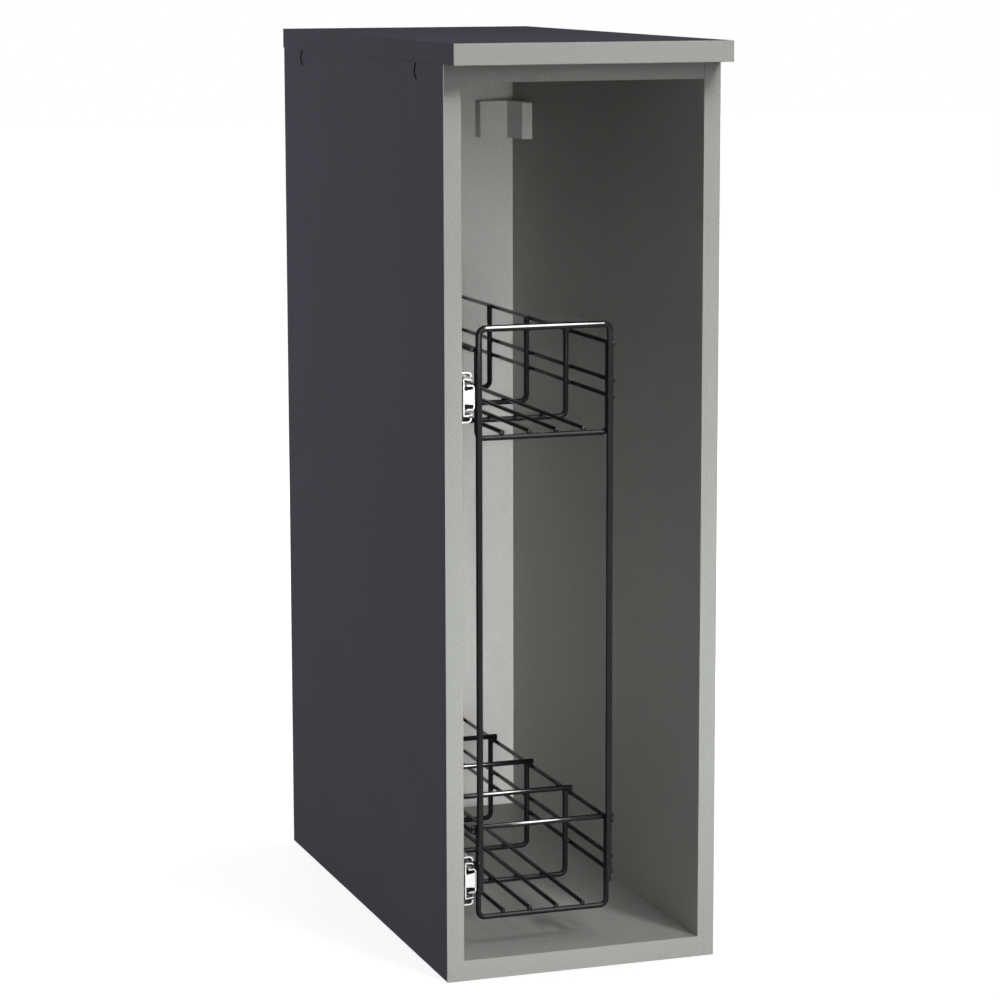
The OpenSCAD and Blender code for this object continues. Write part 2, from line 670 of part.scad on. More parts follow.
module clamp_screws() color(zinc) for (z = [lower_z, upper_z], y = clamp_ys())
  translate([clamp_x + clamp_t, y, z]) rotate([0, 90, 0]) difference() {
    union() {
      cylinder(h = screw_head_t, r = clamp_dia * 0.95);
      translate([0, 0, slide_x + web_x - nut_t - 0.6 - clamp_x - clamp_t])
        cylinder(h = clamp_x + clamp_t - slide_x - web_x + nut_t + 1.6, r = clamp_dia / 2);
    }
    translate([0, 0, screw_head_t - 1.4]) cylinder(h = 3, r = 1.5, $fn = 6);
  }

module clamp_nuts() color(zinc) for (z = [lower_z, upper_z], y = clamp_ys())
  translate([slide_x + web_x - nut_t, y, z]) rotate([0, 90, 0]) difference() {
    cylinder(h = nut_t, r = nut_w / 2 / cos(30), $fn = 6);
    translate([0, 0, -1]) cylinder(h = nut_t + 2, r = clamp_dia / 2 + ball_gap);
  }

left_side();
right_side();
bottom_panel();
top_panel();
front_rail();
rear_rail();
back_panel();
side_edge_bands();
bottom_edge_band();
top_edge_band();
rail_edge_band();
rail_screws();
rail_screw_caps();
rail_dowels();
bottom_cams();
bottom_cam_bolts();
bottom_dowels();
top_screws();
back_screws();
hanger_covers();
hanger_brackets();
hanger_screws();
hook_left();
hook_right();
adjust_screw_left();
adjust_screw_right();
slide_outer(upper_z);  // upper_slide_outer
slide_middle(upper_z);  // upper_slide_middle
slide_inner(upper_z);  // upper_slide_inner
cage(upper_z, cage_a_x, ball_a_x + 1.8, ball_a_x, ball_a_z);  // upper_outer_cage
balls(upper_z, ball_a_x, ball_a_z);  // upper_outer_balls
cage(upper_z, cage_b_x, ball_b_x + 1.8, ball_b_x, ball_b_z);  // upper_inner_cage
balls(upper_z, ball_b_x, ball_b_z);  // upper_inner_balls
slide_outer(lower_z);  // lower_slide_outer
slide_middle(lower_z);  // lower_slide_middle
slide_inner(lower_z);  // lower_slide_inner
cage(lower_z, cage_a_x, ball_a_x + 1.8, ball_a_x, ball_a_z);  // lower_outer_cage
balls(lower_z, ball_a_x, ball_a_z);  // lower_outer_balls
cage(lower_z, cage_b_x, ball_b_x + 1.8, ball_b_x, ball_b_z);  // lower_inner_cage
balls(lower_z, ball_b_x, ball_b_z);  // lower_inner_balls
slide_screws();
tall_frame();
hoops(upper_z);  // upper_hoops
side_wires(upper_z);  // upper_side_wires
floor_wires(upper_z);  // upper_floor_wires
hoops(lower_z);  // lower_hoops
side_wires(lower_z);  // lower_side_wires
floor_wires(lower_z);  // lower_floor_wires
lower_cross_bars();
clamp_plates();
clamp_screws();
clamp_nuts();
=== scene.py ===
# %% [markdown]
# # A narrow kitchen cabinet with a two-tier wire pull-out
#
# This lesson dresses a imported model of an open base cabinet. The cabinet is
# made of coated boards with light bands on their front edges. At its left side
# run two ball slides, and they carry two wire baskets that one tall bent wire
# joins at the front.
#
# The cabinet's lengths below are in millimetres, those of the camera, the floor
# and the lamps in metres. Every place is in the cabinet's own frame: Z is up, the
# open front looks along -Y, and X points right for someone who stands in front.
# Each new piece is built where the model has its plain solid, and rides on the
# same body.

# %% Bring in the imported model
import math
import random

import bmesh
import bpy
from mathutils import Matrix, Vector


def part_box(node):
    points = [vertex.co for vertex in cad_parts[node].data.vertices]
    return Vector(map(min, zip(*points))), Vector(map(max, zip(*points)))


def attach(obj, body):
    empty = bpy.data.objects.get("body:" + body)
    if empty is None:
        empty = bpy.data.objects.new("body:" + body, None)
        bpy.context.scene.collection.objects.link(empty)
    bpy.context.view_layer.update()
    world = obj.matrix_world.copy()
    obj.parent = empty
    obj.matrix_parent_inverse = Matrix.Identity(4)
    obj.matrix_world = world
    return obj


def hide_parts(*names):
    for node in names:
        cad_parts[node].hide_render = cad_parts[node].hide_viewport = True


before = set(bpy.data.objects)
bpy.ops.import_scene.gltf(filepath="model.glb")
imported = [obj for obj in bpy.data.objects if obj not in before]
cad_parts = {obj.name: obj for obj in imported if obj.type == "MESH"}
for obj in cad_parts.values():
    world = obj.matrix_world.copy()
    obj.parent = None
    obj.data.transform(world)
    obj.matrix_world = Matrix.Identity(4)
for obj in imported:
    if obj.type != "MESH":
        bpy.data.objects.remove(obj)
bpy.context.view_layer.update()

scene = bpy.context.scene

# %% [markdown]
# ## The camera
#
# The photographer stood well back and to the left, a little higher than the
# top of the cabinet. The long lens keeps the upright edges almost parallel. The
# place and the angles come from the straight edges of the boards: their corners
# in the picture fix where the eye must have been.
#
# The photograph's own picture was shifted so that its uprights are quite
# parallel. A shift would stay in every other view and push the cabinet out of
# it, so this camera tilts down instead.

# %% Camera
SENSOR_MM = 36
LENS_MM = 119.8
CAMERA_PLACE = (-1.0404, -3.0268, 0.9359)
CAMERA_AZIMUTH = -19.09
CAMERA_ELEVATION = 9.51
CAMERA_LEAN = 0.11
FRONT_MIDDLE = Vector((0, -0.25, 0.42))


def placed(name, data):
    """A new object in the scene."""
    ob = bpy.data.objects.new(name, data)
    scene.collection.objects.link(ob)
    return ob


def look_from(ob, azimuth, elevation, lean):
    """Turns a camera or a lamp to look from a direction, and gives that direction back as a vector.

    Azimuth 0 is straight in front and 90 is at the right. Lean turns it about its line of sight."""
    a = math.radians(azimuth)
    e = math.radians(elevation)
    away = Vector((math.sin(a) * math.cos(e), -math.cos(a) * math.cos(e), math.sin(e)))
    ob.rotation_mode = "QUATERNION"
    upright = (-away).to_track_quat("-Z", "Y")
    ob.rotation_quaternion = upright @ Matrix.Rotation(math.radians(-lean), 3, "Z").to_quaternion()
    return away


camera = placed("camera", bpy.data.cameras.new("camera"))
camera.data.sensor_width = SENSOR_MM
camera.data.lens = LENS_MM
camera.data.clip_end = 200
camera.location = CAMERA_PLACE
look_from(camera, CAMERA_AZIMUTH, CAMERA_ELEVATION, CAMERA_LEAN)
scene.camera = camera
scene.view_settings.view_transform = "Standard"
print("camera", round((camera.location - FRONT_MIDDLE).length, 2), "m from the cabinet's front")

# %% [markdown]
# ## A white background that hardly lights
#
# The set is a plain studio with nothing behind the cabinet. Its white could come
# from strong light all round, but that would bleach the boards. Instead the
# surroundings are white for the eye, for reflections and for what is seen through
# a clear piece, while the rays that carry light get only a faint grey of them.
# Two helpers for all shaders come first: one carries a value from one range to
# another, and one combines two values.

# %% What the eye sees
SKY_LIGHT = 0.02


def mapped(nt, value, low, high, start=0.0, end=1.0):
    """Carries a value from the range start to end over to the range low to high."""
    node = nt.nodes.new("ShaderNodeMapRange")
    node.inputs["From Min"].default_value = start
    node.inputs["From Max"].default_value = end
    node.inputs["To Min"].default_value = low
    node.inputs["To Max"].default_value = high
    nt.links.new(value, node.inputs["Value"])
    return node


def combined(nt, operation, a, b):
    """One value made of two, such as the greater one or the product."""
    node = nt.nodes.new("ShaderNodeMath")
    node.operation = operation
    nt.links.new(a, node.inputs[0])
    nt.links.new(b, node.inputs[1])
    return node.outputs["Value"]


def for_the_eye(nt, dim, bright):
    """A strength that is bright for seeing, reflecting and clear rays, and dim for those that carry light."""
    path = nt.nodes.new("ShaderNodeLightPath")
    seen = path.outputs["Is Camera Ray"]
    for kind in ("Is Glossy Ray", "Is Transmission Ray"):
        seen = combined(nt, "MAXIMUM", seen, path.outputs[kind])
    return mapped(nt, seen, dim, bright).outputs["Result"]


world = bpy.data.worlds.new("studio")
scene.world = world
world.use_nodes = True
sky = world.node_tree.nodes["Background"]
sky.inputs["Color"].default_value = (1, 1, 1, 1)
world.node_tree.links.new(for_the_eye(world.node_tree, SKY_LIGHT, 1.0), sky.inputs["Strength"])
print("surroundings: white for the eye,", SKY_LIGHT, "as light")

# %% [markdown]
# ## The floor
#
# A sheet of paper lies under the cabinet. Its edges are so far off that they are
# as white as the background. It lies a hair below the boards, so that the two
# faces never share a plane.

# %% Floor sheet
FLOOR_REACH = 14.0
FLOOR_DROP = 0.0004


def as_mesh(bm, name):
    """The drawn faces as a mesh that an object can carry."""
    mesh = bpy.data.meshes.new(name)
    bm.to_mesh(mesh)
    bm.free()
    return mesh


def studio_floor():
    """A flat square of paper on the ground."""
    bm = bmesh.new()
    corners = ((-1, -1), (1, -1), (1, 1), (-1, 1))
    bm.faces.new([bm.verts.new((x * FLOOR_REACH, y * FLOOR_REACH, -FLOOR_DROP)) for x, y in corners])
    ob = placed("studio_floor", as_mesh(bm, "studio_floor"))
    return ob


floor = studio_floor()
print("floor sheet", 2 * FLOOR_REACH, "m wide")

# %% [markdown]
# ## Paper that keeps the shadow
#
# The paper itself is a mid grey that takes the lamps' light and the cabinet's
# shadow. A glow that the eye and reflections see, but that lights nothing, lifts
# it to white. Near the cabinet the glow is a little weaker, so the shadow shows
# there, and it grows to full white a couple of metres away.

# %% Floor paper
PAPER_TINT = (0.26, 0.30)
GLOW_FROM_TO = (0.80, 1.0)
GLOW_GROWS_BETWEEN = (0.4, 2.4)


def floor_paper():
    """Mid grey paper with a faint cloudiness, lifted to white for the eye."""
    mat = bpy.data.materials.new("floor_paper")
    mat.use_nodes = True
    nt = mat.node_tree
    paper = nt.nodes["Principled BSDF"]
    paper.inputs["Roughness"].default_value = 0.9
    paper.inputs["Specular IOR Level"].default_value = 0.0
    cloud = nt.nodes.new("ShaderNodeTexNoise")
    cloud.inputs["Scale"].default_value = 40.0
    tint = mapped(nt, cloud.outputs["Fac"], *PAPER_TINT)
    nt.links.new(tint.outputs["Result"], paper.inputs["Base Color"])

    coord = nt.nodes.new("ShaderNodeTexCoord")
    away = nt.nodes.new("ShaderNodeVectorMath")
    away.operation = "LENGTH"
    nt.links.new(coord.outputs["Object"], away.inputs[0])
    fade = mapped(nt, away.outputs["Value"], *GLOW_FROM_TO, *GLOW_GROWS_BETWEEN)
    fade.interpolation_type = "SMOOTHSTEP"
    lift = combined(nt, "MULTIPLY", fade.outputs["Result"], for_the_eye(nt, 0.0, 1.0))
    glow = nt.nodes.new("ShaderNodeEmission")
    nt.links.new(lift, glow.inputs["Strength"])
    both = nt.nodes.new("ShaderNodeAddShader")
    nt.links.new(paper.outputs["BSDF"], both.inputs[0])
    nt.links.new(glow.outputs["Emission"], both.inputs[1])
    nt.links.new(both.outputs["Shader"], nt.nodes["Material Output"].inputs["Surface"])
    return mat


floor.data.materials.append(floor_paper())
print("floor glows", GLOW_FROM_TO, "between", GLOW_GROWS_BETWEEN, "m from the middle")

# %% [markdown]
# ## Lamps
#
# Light in a product studio comes from soft boxes. The key light stands far off
# at the right, above eye level. From there it passes the right board's front
# edge and draws the slanting shadow on the cabinet's floor, and it leaves the
# inside of the right board dark. A small box close above the front lights the
# bands, the upper ends most of all. The front and low screens fill the bands and
# the depth of the cabinet. Screens at the sides, the rear and the top light the
# outer faces, from where they can't shine into the cabinet.
#
# A shiny round wire mirrors a lamp as a thin line. To draw those lines as clear
# as on the real wires, a tall narrow strip stands in the key light's direction.
# It is seen in reflections only, so the boards keep their plain light.

# %% Soft boxes
def soft_box(name, azimuth, elevation, distance, size, share, aim=FRONT_MIDDLE, spread=180, lean=0):
    """A flat lamp that looks at the aim point from a distance. Size is its width and height.

    The share is the light that a face turned to the lamp gets, where 1 shows a colour as written."""
    lamp = bpy.data.lights.new(name, "AREA")
    lamp.shape = "RECTANGLE"
    lamp.size = size[0]
    lamp.size_y = size[1]
    lamp.energy = share * math.pi ** 2 * distance ** 2
    lamp.spread = math.radians(spread)
    ob = placed(name, lamp)
    ob.location = Vector(aim) + look_from(ob, azimuth, elevation, lean) * distance
    print(name, "at azimuth", azimuth, "elevation", elevation, "gives", share)
    return ob


# %% [markdown]
# ## Place the lamps
#
# The strip leans because crosswise wires mirror only the directions on a cone
# round their own line, and that cone bends to the right as it rises. A strip
# along the cone gives one long glint instead of a dot.

# %% Lamps in place
TOP_EDGE = (0, -0.28, 0.85)
DEPTH_OF_CABINET = (0.08, 0.27, 0.2)

soft_box("key_box", 24, 40, 12.0, size=(1.5, 2.6), share=0.44)
glint_strip = soft_box("glint_strip", 24.6, 38, 6.0, size=(0.8, 8.0), share=3.2, lean=16)
glint_strip.visible_diffuse = False
soft_box("near_box", 15, 50, 1.3, size=(0.35, 0.5), share=0.108, aim=TOP_EDGE, spread=80)
soft_box("front_screen", -3, 19, 3.8, size=(0.6, 1.0), share=0.104)
soft_box("low_screen", -6, 3, 3.6, size=(0.5, 0.35), share=0.0078, aim=DEPTH_OF_CABINET, spread=24)
soft_box("left_screen", -112, 12, 3.0, size=(2.0, 2.2), share=0.86)
soft_box("right_screen", 112, 12, 3.0, size=(2.0, 2.2), share=0.65)
soft_box("rear_screen", 180, 15, 3.0, size=(1.8, 1.8), share=0.45)
soft_box("top_screen", 170, 82, 2.6, size=(1.6, 1.6), share=0.17)
print("lamps:", len(bpy.data.lights))

# %% [markdown]
# ## Patterns for the finishes
#
# Each finish is a pattern in the cabinet's own frame, so the grain keeps its
# real size on every board and moves with the piece. An image of a board would
# need to be unwrapped and would repeat. A procedural pattern does neither.

# %% Pattern helpers
MM = 0.001


def material(name, roughness, metallic=0.0, specular=0.5):
    """A new material, its nodes and its main shader."""
    mat = bpy.data.materials.new(name)
    mat.use_nodes = True
    shader = mat.node_tree.nodes["Principled BSDF"]
    shader.inputs["Roughness"].default_value = roughness
    shader.inputs["Metallic"].default_value = metallic
    shader.inputs["Specular IOR Level"].default_value = specular
    return mat, mat.node_tree, shader


def grains(nt, size, stretch=(1, 1, 1), detail=2.0, shift=0.0, kind="ShaderNodeTexNoise"):
    """A pattern whose grains are about size millimetres across, drawn out along an axis by stretch."""
    coord = nt.nodes.new("ShaderNodeTexCoord")
    mapping = nt.nodes.new("ShaderNodeMapping")
    mapping.inputs["Location"].default_value = (shift, 1.7 * shift, 2.3 * shift)
    mapping.inputs["Scale"].default_value = [1000 / (size * s) for s in stretch]
    pattern = nt.nodes.new(kind)
    pattern.inputs["Scale"].default_value = 1.0
    if "Detail" in pattern.inputs:
        pattern.inputs["Detail"].default_value = detail
    nt.links.new(coord.outputs["Object"], mapping.inputs["Vector"])
    nt.links.new(mapping.outputs["Vector"], pattern.inputs["Vector"])
    return pattern


def ramp(nt, fac, stops):
    """A colour that runs through the stops, each a place from 0 to 1 and a colour."""
    node = nt.nodes.new("ShaderNodeValToRGB")
    for i, (at, colour) in enumerate(stops):
        stop = node.color_ramp.elements[i] if i < 2 else node.color_ramp.elements.new(at)
        stop.position = at
        stop.color = (*colour, 1)
    nt.links.new(fac, node.inputs["Fac"])
    return node.outputs["Color"]


def shade(colour, k):
    return tuple(min(1.0, c * k) for c in colour)


# %% [markdown]
# ## Colour, gloss and relief from one pattern
#
# Real surfaces vary in three ways at once: in colour from grain to grain, in
# gloss, and in height. Three small helpers feed one pattern into each of them.

# %% What a pattern drives
HAND_WIDE = 90


def speckled(nt, shader, colour, fine, size, wide=0.02, stretch=(1, 1, 1), shift=0.0):
    """A colour that differs from grain to grain by a share, and over hand-wide patches by a smaller one."""
    small = grains(nt, size, stretch, 2.5, shift)
    large = grains(nt, HAND_WIDE, (1, 1, 1), 2.0, shift + 5)
    near = ramp(nt, small.outputs["Fac"], [(0.32, shade(colour, 1 - fine)), (0.68, shade(colour, 1 + fine))])
    tint = ramp(nt, large.outputs["Fac"], [(0.3, (1 - 2 * wide,) * 3), (0.7, (1.0,) * 3)])
    mix = nt.nodes.new("ShaderNodeMix")
    mix.data_type = "RGBA"
    mix.blend_type = "MULTIPLY"
    mix.inputs[0].default_value = 1.0
    nt.links.new(near, mix.inputs[6])
    nt.links.new(tint, mix.inputs[7])
    nt.links.new(mix.outputs[2], shader.inputs["Base Color"])
    return small


def rough_from(nt, shader, pattern, low, high):
    """A roughness from low to high where the pattern has most of its values."""
    node = mapped(nt, pattern, low, high, 0.25, 0.75)
    nt.links.new(node.outputs["Result"], shader.inputs["Roughness"])


def pressed(nt, shader, pattern, strength, depth):
    """The pattern as relief, depth in millimetres."""
    node = nt.nodes.new("ShaderNodeBump")
    node.inputs["Strength"].default_value = strength
    node.inputs["Distance"].default_value = depth * MM
    nt.links.new(pattern, node.inputs["Height"])
    nt.links.new(node.outputs["Normal"], shader.inputs["Normal"])


# %% [markdown]
# ## Coated boards and bands
#
# The boards are faced with printed paper under clear resin. The pressed face is
# never one flat colour: the print has a faint grain, and tiny pits scatter the
# light. The dark face gets no clear gloss at all, because a faint mirror of the
# white surroundings would wash it out. The bottom board has the same light coat
# as the sides, but its colour is painted a little darker as painted shade. The
# bands are plastic of a cooler grey with a coarser grain.

# %% Coated faces
DARK = (0.052, 0.052, 0.064)
LIGHT = (0.42, 0.43, 0.405)
# The bottom's colour is the sides' light coat painted darker: painted shade, not a coat of its own.
LIGHT_PAINTED_SHADE = (0.325, 0.335, 0.315)
BAND = (0.390, 0.400, 0.375)
PALE = (0.82, 0.82, 0.80)


def coated(name, colour, roughness, fine=0.035, grain=1.1, relief=0.25, depth=0.05, shift=0.0, gloss=0.15):
    """A coated face. Fine is the grain's share of colour, grain its size, relief and depth its pits."""
    mat, nt, shader = material(name, roughness, specular=gloss)
    small = speckled(nt, shader, colour, fine, grain, shift=shift)
    rough_from(nt, shader, small.outputs["Fac"], roughness - 0.06, roughness + 0.08)
    pits = grains(nt, 0.7 * grain, (1, 1, 1), 3.0, shift + 2)
    pressed(nt, shader, pits.outputs["Fac"], relief, depth)
    return mat


dark = coated("dark_melamine", DARK, 0.6, shift=1, gloss=0.0)
light = coated("light_melamine", LIGHT, 0.50, 0.09, 1.7, shift=3)
light_painted_shade = coated("light_melamine_painted_shade", LIGHT_PAINTED_SHADE, 0.50, 0.09, 1.7, shift=3)
band_plastic = coated("light_band_plastic", BAND, 0.52, 0.10, 1.3, 0.5, 0.09, shift=4, gloss=0.05)
pale_face = coated("back_panel_face", PALE, 0.55, 0.05, 1.5, shift=7)
print("coated faces:", dark.name, light.name, light_painted_shade.name, band_plastic.name, pale_face.name)

# %% [markdown]
# ## Raw boards
#
# Where no coat or band covers a board its core shows: chips of wood pressed flat
# in glue. A cell pattern gives each chip one brown. The hard fibreboard of the
# back is brown all through and raw behind, and the dowels are beech with long
# pores. Both are a speckle drawn out along the fibres.

# %% Raw core, fibreboard and beech
raw_core, nt, shader = material("raw_chip_core", 0.85, specular=0.2)
chips = grains(nt, 2.6, (1.6, 1.6, 0.7), kind="ShaderNodeTexVoronoi")
pick = nt.nodes.new("ShaderNodeSeparateColor")
nt.links.new(chips.outputs["Color"], pick.inputs["Color"])
CHIP_BROWNS = [(0.0, (0.20, 0.125, 0.065)), (1.0, (0.56, 0.41, 0.25)), (0.45, (0.40, 0.27, 0.15))]
nt.links.new(ramp(nt, pick.outputs["Red"], CHIP_BROWNS), shader.inputs["Base Color"])
pressed(nt, shader, chips.outputs["Distance"], 0.7, 0.25)

fibre, nt, shader = material("brown_fibreboard", 0.8, specular=0.25)
threads = speckled(nt, shader, (0.24, 0.145, 0.08), 0.22, 0.7, 0.05, (2.5, 1, 1), 9)
pressed(nt, shader, threads.outputs["Fac"], 0.35, 0.08)

beech, nt, shader = material("beech", 0.6, specular=0.3)
threads = speckled(nt, shader, (0.62, 0.44, 0.26), 0.12, 0.6, 0.03, (9, 1, 1), 11)
pressed(nt, shader, threads.outputs["Fac"], 0.3, 0.06)
print("raw boards:", raw_core.name, fibre.name, beech.name)

# %% [markdown]
# ## Metals
#
# Zinc on steel is bright and slightly cloudy. The rolled sheet of the slides
# shows faint lines along its length, so its grain is drawn out along Y. The cast
# cam housings are duller, and the balls are ground and polished.

# %% Zinc and steel
def metal(name, colour, roughness, size=2.5, stretch=(1, 1, 1), spread=0.06, relief=0.12, shift=0.0):
    """A bare or plated metal. Spread is the share by which its colour differs from place to place."""
    mat, nt, shader = material(name, roughness, metallic=1.0)
    small = speckled(nt, shader, colour, spread, size, 0.03, stretch, shift)
    rough_from(nt, shader, small.outputs["Fac"], roughness - 0.07, roughness + 0.09)
    pressed(nt, shader, small.outputs["Fac"], relief, 0.03)
    return mat


zinc = metal("bright_zinc", (0.74, 0.75, 0.74), 0.30, shift=12)
rolled_zinc = metal("rolled_zinc_sheet", (0.74, 0.75, 0.73), 0.24, 0.9, (1, 30, 1), 0.05, 0.15, 13)
cast_zinc = metal("cast_zinc", (0.60, 0.60, 0.60), 0.42, 1.4, shift=14)
cage_steel = metal("cage_steel", (0.62, 0.63, 0.64), 0.30, 1.5, (1, 8, 1), shift=15)
ball_steel = metal("ball_steel", (0.80, 0.80, 0.82), 0.10, 3.0, spread=0.02, relief=0.02, shift=16)
print("metals:", zinc.name, rolled_zinc.name, cast_zinc.name, cage_steel.name, ball_steel.name)

# %% [markdown]
# ## Wire coat and plastics
#
# The wires are steel under a thick black coat: nearly black by itself, but so
# smooth that a lamp shows in it as a thin white line. Its clear gloss is kept
# low, or the white surroundings would turn the wires grey. The hoops are bent
# from duller stock and show no such line. The plastic of the hanger covers and
# of the cover caps is dull, with the fine frost of its mould.

# %% Coat, cover and cap
COAT_BLACK = (0.005, 0.0055, 0.005)


def wire_coat(name, smoothest, roughest, gloss):
    """A black coat with the faint waves of a dipped skin."""
    mat, nt, shader = material(name, smoothest, specular=gloss)
    peel = speckled(nt, shader, COAT_BLACK, 0.12, 1.6, 0.05, shift=17)
    rough_from(nt, shader, peel.outputs["Fac"], smoothest, roughest)
    pressed(nt, shader, peel.outputs["Fac"], 0.03, 0.02)
    return mat


def moulded(name, colour, roughness, gloss, fine, wide, depth, shift):
    """A plastic with the fine frost of its mould, depth millimetres deep."""
    mat, nt, shader = material(name, roughness, specular=gloss)
    frost = speckled(nt, shader, colour, fine, 0.6, wide, shift=shift)
    rough_from(nt, shader, frost.outputs["Fac"], roughness - 0.06, roughness + 0.06)
    pressed(nt, shader, frost.outputs["Fac"], 0.3, depth)
    return mat


black = wire_coat("black_wire_coat", 0.06, 0.12, 0.25)
satin_black = wire_coat("satin_hoop_coat", 0.40, 0.48, 0.10)
cover_grey = moulded("grey_cover_plastic", (0.88, 0.88, 0.86), 0.50, 0.5, 0.03, 0.01, 0.04, shift=18)
cap_dark = moulded("dark_cap_plastic", (0.050, 0.050, 0.062), 0.48, 0.0, 0.04, 0.02, 0.03, shift=19)
print("coats and plastics:", black.name, satin_black.name, cover_grey.name, cap_dark.name)

# %% [markdown]
# ## From a drawn mesh to a riding piece
#
# Two kinds of making cover almost the whole cabinet. Boards are sawn, drilled
# and banded, so they start as blocks. Wires and sheet parts keep one section
# along a path. Both are drawn as plain meshes in millimetres.

# %% Settle a piece
def settle(bm, name, body, mats, instead_of=(), sharp=32):
    """Turns a mesh drawn in millimetres into a piece that rides on a body of the model."""
    bmesh.ops.scale(bm, vec=(MM, MM, MM), verts=bm.verts)
    mesh = as_mesh(bm, name)
    for mat in mats:
        mesh.materials.append(mat)
    smooth(mesh, sharp)
    ob = placed(name, mesh)
    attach(ob, body)
    if instead_of:
        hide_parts(*instead_of)
    return ob


def smooth(mesh, sharp):
    """Smooth shading, with a crease wherever two faces meet at more than sharp degrees."""
    for p in mesh.polygons:
        p.use_smooth = True
    mesh.set_sharp_from_angle(angle=math.radians(sharp))


def even_light(ob):
    """Lets the wide faces rule the shading, so that a broken edge doesn't shade the whole board."""
    mod = ob.modifiers.new("even_light", "WEIGHTED_NORMAL")
    mod.keep_sharp = True
    mod.weight = 90
    return ob


# %% [markdown]
# ## Blocks and broken edges
#
# A board comes from the saw with sharp edges, and a few strokes of sandpaper
# take them off. A rounded edge also catches a thin line of light, without which
# a board looks drawn rather than made. Edges that a band covers stay sharp.

# %% Blocks
def block(bm, lo, hi, faces=None):
    """A block between two corners. Faces gives a material number for a side, named by its normal."""
    sides = {"-x": (0, 2, 6, 4), "+x": (1, 5, 7, 3), "-y": (0, 4, 5, 1),
             "+y": (2, 3, 7, 6), "-z": (0, 1, 3, 2), "+z": (4, 6, 7, 5)}
    corners = [bm.verts.new((hi[0] if i & 1 else lo[0], hi[1] if i & 2 else lo[1], hi[2] if i & 4 else lo[2]))
               for i in range(8)]
    for side, ids in sides.items():
        f = bm.faces.new([corners[i] for i in ids])
        f.material_index = (faces or {}).get(side, 0)


def both_sides(lo, hi):
    """A block's corners mirrored to the left, and as they are at the right."""
    return [((-hi[0], lo[1], lo[2]), (-lo[0], hi[1], hi[2])), (lo, hi)]


def break_edges(bm, width, keep):
    """Rounds the edges of a block, apart from those whose two ends pass keep."""
    edges = [e for e in bm.edges if not (keep(e.verts[0].co) and keep(e.verts[1].co))]
    bmesh.ops.bevel(bm, geom=edges, offset=width, segments=2, profile=0.5, affect="EDGES")


# %% [markdown]
# ## Bores and windows
#
# Real recesses are cut, so these are cut too. All the cutters of one board are
# drawn into one mesh, a round plug for each bore and a block for each window,
# and a single boolean takes them away. Each cutter carries the material of the
# surface that it leaves behind.

# %% Cutters
BORE_SIDES = 48


def drill(bm, at, axis, radius, depth, index):
    """A cutter: a round plug from a point along an axis."""
    turn = Vector(axis).to_track_quat("Z", "Y").to_matrix().to_4x4()
    middle = Matrix.Translation(Vector(at) + Vector(axis).normalized() * depth / 2)
    made = bmesh.ops.create_cone(bm, cap_ends=True, segments=BORE_SIDES, radius1=radius, radius2=radius,
                                 depth=depth, matrix=middle @ turn)
    for f in {f for v in made["verts"] for f in v.link_faces}:
        f.material_index = index


def cut(ob, cutter_bm):
    """Takes the cutter away from a piece for good, and deletes the cutter."""
    bmesh.ops.scale(cutter_bm, vec=(MM, MM, MM), verts=cutter_bm.verts)
    mesh = as_mesh(cutter_bm, "cutter")
    for mat in ob.data.materials:
        mesh.materials.append(mat)
    tool = placed("cutter", mesh)
    mod = ob.modifiers.new("cut", "BOOLEAN")
    mod.operation = "DIFFERENCE"
    mod.object = tool
    mod.solver = "EXACT"
    bpy.context.view_layer.update()
    done = bpy.data.meshes.new_from_object(ob.evaluated_get(bpy.context.evaluated_depsgraph_get()))
    ob.modifiers.clear()
    ob.data = done
    done.name = ob.name
    smooth(done, 32)
    bpy.data.objects.remove(tool)


# %% [markdown]
# ## A board
#
# Every board goes through the same steps as in a workshop: cut to the box of
# its plain solid, edges broken, holes and windows cut. So one function makes
# them all, and a call says only what is special about a board.

# %% Board maker
def none_kept(co):
    return False


def board(name, node, mats, faces, holes=(), edge=0.3, keep=none_kept, shrink=(0, 0, 0), windows=()):
    """A board in the place of a node, with drilled holes and cut windows."""
    lo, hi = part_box(node)
    lo = lo * 1000 + Vector(shrink)
    hi = hi * 1000 - Vector(shrink)
    bm = bmesh.new()
    block(bm, lo, hi, faces)
    break_edges(bm, edge, keep)
    ob = settle(bm, name, "cabinet", mats, [node])
    if holes or windows:
        tool = bmesh.new()
        for at, axis, radius, depth, index in holes:
            drill(tool, at, axis, radius, depth, index)
        for window_lo, window_hi, index in windows:
            block(tool, window_lo, window_hi, dict.fromkeys(("-x", "+x", "-y", "+y", "-z", "+z"), index))
        bmesh.ops.recalc_face_normals(tool, faces=tool.faces)
        cut(ob, tool)
    even_light(ob)
    print(name, "is", " x ".join(str(round(b - a, 1)) for a, b in zip(lo, hi)), "mm")

# %% [markdown]
# ## The side boards
#
# A side board is chipboard, coated dark on the outside and light on the inside.
# The saw leaves the brown core open at the back and below, where nobody looks.
# Two bores go through near the top for the screws of the rails. Each ends
# outside in a wide shallow seat for its cover cap. The front edge stays sharp on
# the board itself, because the band covers it.

# %% Side boards
FRONT_Y = -250.5
BACK_Y = 269.5
SIDE_TOP = 831.0
SIDE_FACE_X = 131
PAST = 1.0
BAND_COVERS = 1.5
RAIL_SCREW_Z = SIDE_TOP - 8
RAIL_SCREW_YS = (FRONT_Y + 78, BACK_Y - 68)
CAP_SUNK = 0.9
CAP_SEAT_RADIUS = 7.6
CAP_SEAT_DEEP = 2.2
SCREW_HEAD_RADIUS = 5.1
SCREW_HEAD_DEEP = 3.5


def under_the_band(co):
    return co.y < FRONT_Y + BAND_COVERS


